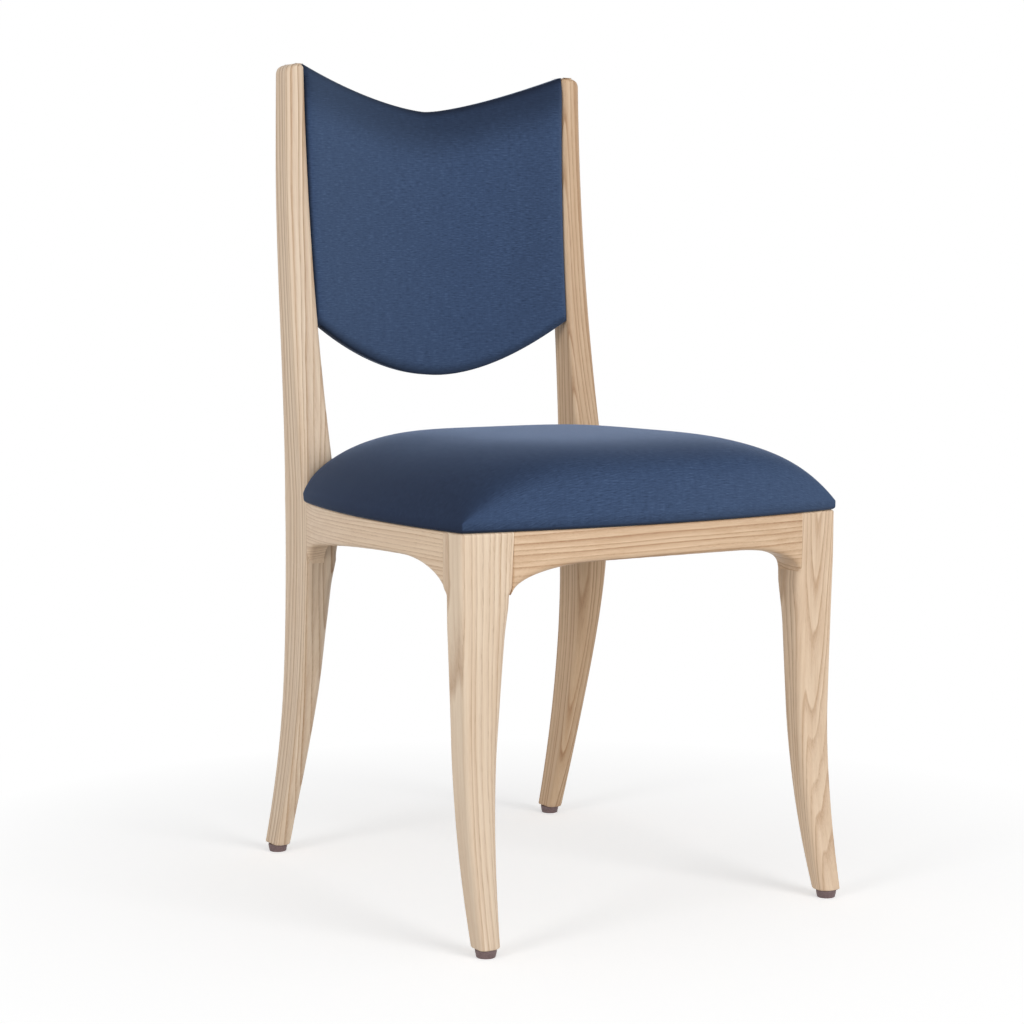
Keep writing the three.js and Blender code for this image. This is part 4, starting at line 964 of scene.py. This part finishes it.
def blue_cloth():
    tree = new_material("blue_cloth")
    weave = tree.add("ShaderNodeUVMap", uv_map="weave").outputs["UV"]
    fine = tree.noise(weave, (190.0, 1500.0, 1.0), 2.0, 0.6)
    slub = tree.noise(weave, (95.0, 760.0, 1.0), 1.0)
    warp_tone = tree.noise(weave, (900.0, 40.0, 1.0), 1.0)
    cloud = tree.noise(weave, (24.0, 24.0, 1.0), 2.0)
    colour = tree.mix(tree.ramp(fine, [(0.3, 0.0), (0.7, 1.0)]), linear(51, 68, 97), linear(66, 86, 119))
    for spread, start, end, amount, tone in (
        (slub, (0.56, 0.0), (0.74, 1.0), 0.42, (84, 106, 142)),
        (slub, (0.26, 1.0), (0.42, 0.0), 0.5, (36, 50, 76)),
        (warp_tone, (0.35, 0.0), (0.65, 1.0), 0.12, (40, 54, 80)),
        (cloud, (0.4, 0.0), (0.66, 1.0), 0.14, (48, 64, 92)),
    ):
        colour = tree.tint(colour, tree.ramp(spread, [start, end]), amount, linear(*tone))
    # Painted shade: the two point attributes darken the cloth along the edges and creases of the covers.
    for name, amount, tone in (("painted_edge_shade", 0.62, (24, 33, 50)), ("painted_crease_shade", 0.9, (10, 13, 22))):
        edge = tree.add("ShaderNodeAttribute", attribute_name=name).outputs["Fac"]
        colour = tree.tint(colour, edge, amount, linear(*tone))
    # Painted light and shade by the surface's own direction: faces turned to the left are painted darker, faces
    # turned to the right paler.
    facing = tree.vector("DOT_PRODUCT", tree.add("ShaderNodeNewGeometry").outputs["Normal"], (-0.96, 0.1, 0.26))
    painted_left_shade = tree.ramp(facing, [(0.06, 0.0), (0.40, 0.55), (0.85, 1.0)])
    colour = tree.tint(colour, painted_left_shade, 0.70, linear(28, 36, 56))
    painted_right_light = tree.ramp(tree.math("MULTIPLY", facing, -1.0), [(0.0, 0.0), (0.42, 1.0)])
    colour = tree.tint(colour, painted_right_light, 0.24, linear(92, 112, 142))
    sides = tree.add("ShaderNodeSeparateXYZ", {"Vector": weave})
    warp = tree.math("SINE", tree.math("MULTIPLY", sides.outputs["X"], 2 * math.pi / WARP_SPACING))
    weft = tree.math("SINE", tree.math("MULTIPLY", sides.outputs["Y"], 2 * math.pi / WEFT_SPACING))
    threads = tree.math("MULTIPLY_ADD", slub, 0.8, fine)
    height = tree.math("MULTIPLY_ADD", tree.math("MULTIPLY", warp, weft), 0.25, threads)
    shader = tree.add("ShaderNodeBsdfPrincipled", {
        "Base Color": colour, "Roughness": 0.8, "Normal": tree.bump(height, 0.22, 0.0004), "Specular IOR Level": 0.12,
        "Sheen Weight": 0.4, "Sheen Roughness": 0.28, "Sheen Tint": linear(176, 196, 230),
    })
    return tree.surface(shader)


cloth = blue_cloth()
for piece in (seat_cushion, back_pad, rear_panel):
    piece.data.materials.append(cloth)
print("One cloth on three covers")

# %% [markdown]
# ## The plain materials inside and below
# Plywood shows its glued layers at an edge, so it is bands of noise along Z. The corner blocks and dowels are
# beech, which is even with short dark flecks. The dust cover is matt black felt of crossed fibres, the glides
# are grey-brown plastic with a faint moulded grain, and the screws and nails are zinc-plated steel.


# %% Plain materials
def spotted(name, low, high, scale, roughness, metallic=0.0, specular=0.4, bump=0.1, cut=(0.35, 0.65)):
    """Two tones in spots, whose size along each axis is set by the scale."""
    tree = new_material(name)
    spots = tree.noise(tree.add("ShaderNodeTexCoord").outputs["Object"], scale, 3.0, 0.6)
    shader = tree.add("ShaderNodeBsdfPrincipled", {
        "Base Color": tree.mix(tree.ramp(spots, [(cut[0], 0.0), (cut[1], 1.0)]), linear(*low), linear(*high)),
        "Roughness": tree.math("MULTIPLY_ADD", spots, 0.14, roughness - 0.07), "Metallic": metallic,
        "Specular IOR Level": specular, "Normal": tree.bump(spots, bump, 0.0003),
    })
    return tree.surface(shader)


EVEN, COARSE = (900.0, 900.0, 900.0), (500.0, 500.0, 500.0)
beech = spotted("beech", (196, 160, 120), (222, 190, 150), (700.0, 60.0, 700.0), 0.6)
plywood = spotted("plywood", (176, 140, 98), (214, 184, 140), (14.0, 14.0, 900.0), 0.7, cut=(0.42, 0.55))
felt = spotted("dust_felt", (20, 20, 23), (44, 44, 48), (1900.0, 1900.0, 600.0), 0.95, specular=0.15, bump=0.5)
plastic = spotted("glide_plastic", (100, 82, 82), (124, 104, 104), EVEN, 0.5, bump=0.12)
zinc = spotted("zinc_steel", (150, 152, 156), (196, 198, 202), COARSE, 0.38, metallic=1.0)
dust_cover.data.materials.append(felt)
print("Beech, plywood, felt, plastic and zinc are ready")

# %% [markdown]
# ## Small parts that repeat
# Screws, glides and staples are each one small shape, set out many times. Copying objects by hand would work,
# but a place that changes later would have to be mended many times over. One Geometry Nodes tree does it
# instead: it puts a part on every point it is given, turns it to that point's direction and gives it its
# finish. A second tree walks along a path and sets a staple at every step. Both end in Realize Instances, so
# that what comes out is a plain mesh.


# %% Two trees
def repeating_tree(name, source, axis, *more_inputs):
    """A tree that sets copies of a part on the points of a source, makes them real and gives them their finish."""
    group = bpy.data.node_groups.new(name, "GeometryNodeTree")
    inputs = [("Geometry", "Geometry"), ("Part", "Object"), ("Size", "Float"), ("Finish", "Material"), *more_inputs]
    for label, kind in inputs:
        group.interface.new_socket(label, in_out="INPUT", socket_type="NodeSocket" + kind)
    group.interface.new_socket("Geometry", in_out="OUTPUT", socket_type="NodeSocketGeometry")
    tree = Tree(group, group, "NodeGroupOutput")
    given = tree.add("NodeGroupInput").outputs
    points, direction = source(tree, given)
    part = tree.add("GeometryNodeObjectInfo", {"Object": given["Part"], "As Instance": True})
    turn = tree.add("FunctionNodeAlignRotationToVector", {"Vector": direction}, axis=axis)
    copies = tree.add("GeometryNodeInstanceOnPoints", {
        "Points": points, "Instance": part.outputs["Geometry"],
        "Rotation": turn.outputs["Rotation"], "Scale": given["Size"],
    })
    plain = tree.add("GeometryNodeRealizeInstances", {"Geometry": copies.outputs["Instances"]})
    finish = tree.add("GeometryNodeSetMaterial", {"Geometry": plain.outputs["Geometry"], "Material": given["Finish"]})
    tree.links.new(finish.outputs["Geometry"], tree.out.inputs["Geometry"])
    return group


def marked_points(tree, given):
    """The given points, each with the direction in its attribute."""
    direction = tree.add("GeometryNodeInputNamedAttribute", {"Name": "direction"}, data_type="FLOAT_VECTOR")
    return given["Geometry"], direction.outputs["Attribute"]


def steps_on_path(tree, given):
    """Points at even steps along the given path, each with the path's own direction."""
    path = tree.add("GeometryNodeMeshToCurve", {"Mesh": given["Geometry"]})
    steps = tree.add(
        "GeometryNodeCurveToPoints", {"Curve": path.outputs["Curve"], "Length": given["Step"]}, mode="LENGTH")
    return steps.outputs["Points"], steps.outputs["Tangent"]


set_out = repeating_tree("set out a part", marked_points, "Z")
along_path = repeating_tree("set a part along a path", steps_on_path, "X", ("Step", "Float"))
print("Two trees for repeated parts")


# %% From tree to mesh
def made_by(tree, name, points, edges, settings, directions=None):
    """The plain mesh that a tree makes from points or a path."""
    mesh = mesh_of(name, points, edges)
    if directions is not None:
        layer = mesh.attributes.new("direction", "FLOAT_VECTOR", "POINT")
        layer.data.foreach_set("vector", np.array(directions, np.float32).ravel())
    holder = placed(name, mesh)
    modifier = holder.modifiers.new(tree.name, "NODES")
    modifier.node_group = tree
    for item in tree.interface.items_tree:
        if item.in_out == "INPUT" and item.name in settings:
            modifier[item.identifier] = settings[item.name]
    held = holder.evaluated_get(bpy.context.evaluated_depsgraph_get())
    made = bpy.data.meshes.new_from_object(held)
    holder.modifiers.remove(modifier)
    holder.data = made
    bpy.data.objects.remove(settings["Part"])
    print(name, "has", len(made.polygons), "faces")
    return holder


def turned(name, outline, around):
    """A closed body turned round +Z, from an outline of radius and height that starts and ends on the axis."""
    angles = np.arange(around) * 2 * math.pi / around
    points = [(0, 0, outline[0][1]), (0, 0, outline[-1][1])]
    for radius, height in outline[1:-1]:
        points += [(radius * math.cos(a), radius * math.sin(a), height) for a in angles]
    rings = [range(start, start + around) for start in range(2, len(points), around)]
    low, high = rings[0], rings[-1]
    faces = bridge(*rings) + [(0, low[(i + 1) % around], low[i]) for i in range(around)]
    return new_piece(name, points, faces + [(1, high[i], high[(i + 1) % around]) for i in range(around)])


# %% Glides
glide_nodes = sorted(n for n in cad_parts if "glide" in n and "nail" not in n)
glide_low, glide_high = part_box(glide_nodes[0])
GLIDE_RADIUS, GLIDE_TOP = (glide_high.x - glide_low.x) / 2, glide_high.z
glide_line = [(0, 0.0045), (0.0033, 0.0045), (0.0036, 0.0042), (0.0036, 0.0006), (0.0041, 0.0)]
glide_line += [(GLIDE_RADIUS - 0.0026, 0.0)]
for angle in np.linspace(0.3, math.pi / 2, 5):
    glide_line.append((GLIDE_RADIUS - 0.0024 + 0.0011 * math.sin(angle), 0.0011 * (1 - math.cos(angle))))
glide_line += [(GLIDE_RADIUS - 0.0006, GLIDE_TOP * 0.5), (GLIDE_RADIUS, GLIDE_TOP - 0.0009)]
glide_line += [(GLIDE_RADIUS - 0.0003, GLIDE_TOP - 0.0003), (GLIDE_RADIUS - 0.0009, GLIDE_TOP), (0, GLIDE_TOP)]
glide_places = [(sum(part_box(n), Vector()) / 2) * Vector((1, 1, 0)) for n in glide_nodes]
glides = made_by(set_out, "turned_glides", glide_places, [], {
    "Part": turned("glide", glide_line, 72), "Size": 1.0, "Finish": plastic,
}, [(0, 0, 1)] * len(glide_places))


# %% Screws
def screw(name, length):
    """A round-headed screw with a cross cut in its head; its head sits at zero and its point is up at its length."""
    head = [(0, -0.0026)] + [(r, -0.0026 + 0.0011 * (r / 0.004) ** 2) for r in np.linspace(0.0003, 0.0036, 14)]
    head += [(0.0039, -0.0012), (0.004, -0.0004), (0.0038, 0.0), (0.0019, 0.0), (0.0019, 0.005)]
    turns = np.arange(0.0056, length - 0.0035, 0.0006)
    thread = [(0.0019 if place % 2 else 0.00145, z) for place, z in enumerate(turns)]
    part = turned(name, head + thread + [(0.0011, length - 0.002), (0.0004, length - 0.0004), (0, length)], 44)
    for point in part.data.vertices:
        narrow, far = sorted((abs(point.co.x), abs(point.co.y)))
        if point.co.z < -0.001 and narrow < 0.0006 and far < 0.0021:
            point.co.z += 0.0012
    return part


screw_pieces = []
for group, title in (("seat", "seat_screws"), ("front", "front_block_screws"), ("rear", "rear_block_screws")):
    nodes = sorted(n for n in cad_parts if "screw" in n and (
        "seat" in n if group == "seat" else n.startswith(group) and "seat" not in n))
    places, directions = [], []
    for node in nodes:
        low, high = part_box(node)
        size, middle = high - low, (low + high) / 2
        axis = max(range(3), key=lambda i: size[i])
        way = 1 if axis == 2 else ((-1 if group == "front" else 1) if axis == 1 else math.copysign(1, middle.x))
        middle[axis] = low[axis] + 0.003 if way > 0 else high[axis] - 0.003
        places.append(middle)
        directions.append([way if i == axis else 0 for i in range(3)])
    piece = made_by(set_out, title, places, [], {
        "Part": screw("screw", max(size) - 0.003), "Size": 1.0, "Finish": zinc}, directions)
    screw_pieces.append((piece, nodes))

# %% Staples along the dust cover
staple_line = [(-0.0046, 0.0, 0.0021)]
corner = [(math.sin(a), 1 - math.cos(a)) for a in np.linspace(math.pi / 2, 0, 5)]
staple_line += [(-0.0046 + 0.0008 * (1 - x), 0.0, 0.0008 * z) for x, z in corner]
staple_line += [(-x, 0.0, z) for x, _, z in reversed(staple_line)]
octagon = ((-1, -0.6), (-0.6, -1), (0.6, -1), (1, -0.6), (1, 0.6), (0.6, 1), (-0.6, 1), (-1, 0.6))
staple_rings = []
for place, point in enumerate(staple_line):
    before, after = staple_line[max(place - 1, 0)], staple_line[min(place + 1, len(staple_line) - 1)]
    run = np.array(after) - np.array(before)
    side = np.array([-run[2], 0, run[0]]) / np.linalg.norm(run) * 0.00025
    wide = np.array([0, 0.0006, 0])
    staple_rings.append([np.array(point) + a * side + b * wide for a, b in octagon])
staple_path = dust_place(rim_across, rim_along, 0.006, -0.0003)
path_edges = [(i, (i + 1) % len(staple_path)) for i in range(len(staple_path))]
staples = made_by(along_path, "dust_cover_staples", staple_path, path_edges, {
    "Part": loft("staple", staple_rings), "Size": 1.0, "Finish": zinc, "Step": 0.034})

# %% [markdown]
# ## Dressing the hidden nodes
# The imported chair also holds the joinery: dowels, corner blocks, screws, nails, the seat board and the back's
# core. Their shapes are right, so they stay as they are, and all but the screws get a finish chosen by a word in
# their names.

# %% Finishes on the imported nodes
LOOKS = [("dowel", beech), ("corner_block", beech), ("nail", zinc), ("seat_board", plywood), ("back_core", plywood)]
dressed = 0
for node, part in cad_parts.items():
    finish = next((look for word, look in LOOKS if word in node), None)
    if finish is not None:
        part.data.materials.clear()
        part.data.materials.append(finish)
        dressed += 1
print(dressed, "packed nodes dressed")

# %% [markdown]
# ## What each piece stands for
# Every new piece rides on the chair's one rigid body, and the imported nodes it replaces are hidden.

# %% Riding and replacing
STANDS_FOR = [
    (front_leg_right, "ash_frame", ["front_leg_right"]), (front_leg_left, "ash_frame", ["front_leg_left"]),
    (rear_leg_right, "ash_frame", ["rear_leg_right"]), (rear_leg_left, "ash_frame", ["rear_leg_left"]),
    (front_rail, "ash_frame", ["front_rail"]), (back_rail, "ash_frame", ["back_rail"]),
    (side_rail_right, "ash_frame", ["side_rail_right"]), (side_rail_left, "ash_frame", ["side_rail_left"]),
    (seat_cushion, "blue_cloth", ["seat_cover", "seat_foam"]),
    (back_pad, "blue_cloth", ["back_front_cover", "back_foam"]),
    (rear_panel, "blue_cloth", ["back_rear_panel"]), (dust_cover, "dust_cloth", ["seat_dust_cover"]),
    (glides, "glide_plastic", glide_nodes), (staples, "nail_steel", []),
] + [(piece, "screw_steel", nodes) for piece, nodes in screw_pieces]
for piece, slot, nodes in STANDS_FOR:
    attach(piece, "root")
    if nodes:
        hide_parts(*nodes)
print(len(STANDS_FOR), "pieces ride on the chair")

# %% [markdown]
# ## Floor, light and camera
# The picture is a studio shot on white. A white floor lit to full strength would throw its light back on the
# chair, so the floor is a plain pale plane whose look to the camera is mostly its own glow: shadows stay in
# it as a faint grey, and the rest reaches white. The world is brightest near the horizon, as the pale walls
# of a studio are, and one large lamp in front and a smaller one on the left light the chair at a plain level.

# %% Floor
corners = [(-9, -9, 0), (9, -9, 0), (9, 9, 0), (-9, 9, 0)]
floor = placed("floor", mesh_of("floor", corners, faces=[(0, 1, 2, 3)]))
tree = new_material("studio_floor")
glow = tree.add("ShaderNodeEmission", {"Color": (1, 1, 1, 1), "Strength": 0.36})
lit = tree.add("ShaderNodeBsdfDiffuse", {"Color": (1.0, 1.0, 1.0, 1)})
near = tree.add("ShaderNodeAddShader", {0: glow.outputs[0], 1: lit.outputs[0]})
far = tree.add("ShaderNodeEmission", {"Color": (1, 1, 1, 1), "Strength": 1.0})
ground = tree.add("ShaderNodeTexCoord").outputs["Object"]
away = tree.ramp(tree.math("MULTIPLY", tree.vector("LENGTH", ground), 0.5), [(0.13, 0.0), (0.40, 1.0)])
seen = tree.add("ShaderNodeMixShader", {0: away, 1: near.outputs[0], 2: far.outputs[0]})
pale = tree.add("ShaderNodeBsdfDiffuse", {"Color": linear(226, 225, 223)})
top_look = tree.add("ShaderNodeMixShader", {0: tree.seen_directly(), 1: pale.outputs[0], 2: seen.outputs[0]})
below = tree.add("ShaderNodeNewGeometry").outputs["Backfacing"]
clear = tree.add("ShaderNodeBsdfTransparent")
whole = tree.add("ShaderNodeMixShader", {0: below, 1: top_look.outputs[0], 2: clear.outputs[0]})
floor.data.materials.append(tree.surface(whole))
print("Floor laid")

# %% World and lamps
world = bpy.data.worlds.new("studio")
bpy.context.scene.world = world
world.use_nodes = True
tree = Tree(world, world.node_tree, "ShaderNodeOutputWorld")
height = tree.add("ShaderNodeSeparateXYZ", {0: tree.add("ShaderNodeTexCoord").outputs["Generated"]}).outputs["Z"]
strength = tree.add("ShaderNodeMapRange", {
    "Value": height, "From Min": 0.0, "From Max": 1.0, "To Min": 0.87, "To Max": 0.12})
sky = tree.add("ShaderNodeBackground", {"Color": (1, 1, 1, 1), "Strength": strength.outputs["Result"]})
white = tree.add("ShaderNodeBackground", {"Color": (1, 1, 1, 1), "Strength": 1.0})
tree.surface(tree.add("ShaderNodeMixShader", {0: tree.seen_directly(), 1: sky.outputs[0], 2: white.outputs[0]}))


AIM = Vector((0, 0, 0.45))


def lamp(name, place, size, power):
    light = bpy.data.lights.new(name, "AREA")
    light.shape, light.size, light.energy = "DISK", size, power
    holder = placed(name, light)
    holder.location = place
    holder.rotation_euler = (AIM - Vector(place)).to_track_quat("-Z", "Y").to_euler()


lamp("key", (0.9, -4.1, 1.7), 2.4, 84.0)
lamp("side", (-4.0, -1.2, 1.2), 1.6, 50.0)
print("World and two lamps set")

# %% Camera
camera_data = bpy.data.cameras.new("camera")
camera_data.sensor_width, camera_data.lens = 36.0, 83.57
camera_data.clip_start, camera_data.clip_end = 0.1, 60.0
camera = placed("camera", camera_data)
camera.location = (-1.4299, -2.2166 + SHIFT_Y, 0.6672)
camera.rotation_mode = "QUATERNION"
camera.rotation_quaternion = Vector((0.5326, 0.8409, -0.0965)).to_track_quat("-Z", "Y")
bpy.context.scene.camera = camera
bpy.context.scene.view_settings.view_transform = "Standard"
print("Camera stands", round((camera.location - AIM).length, 2), "m from the chair")
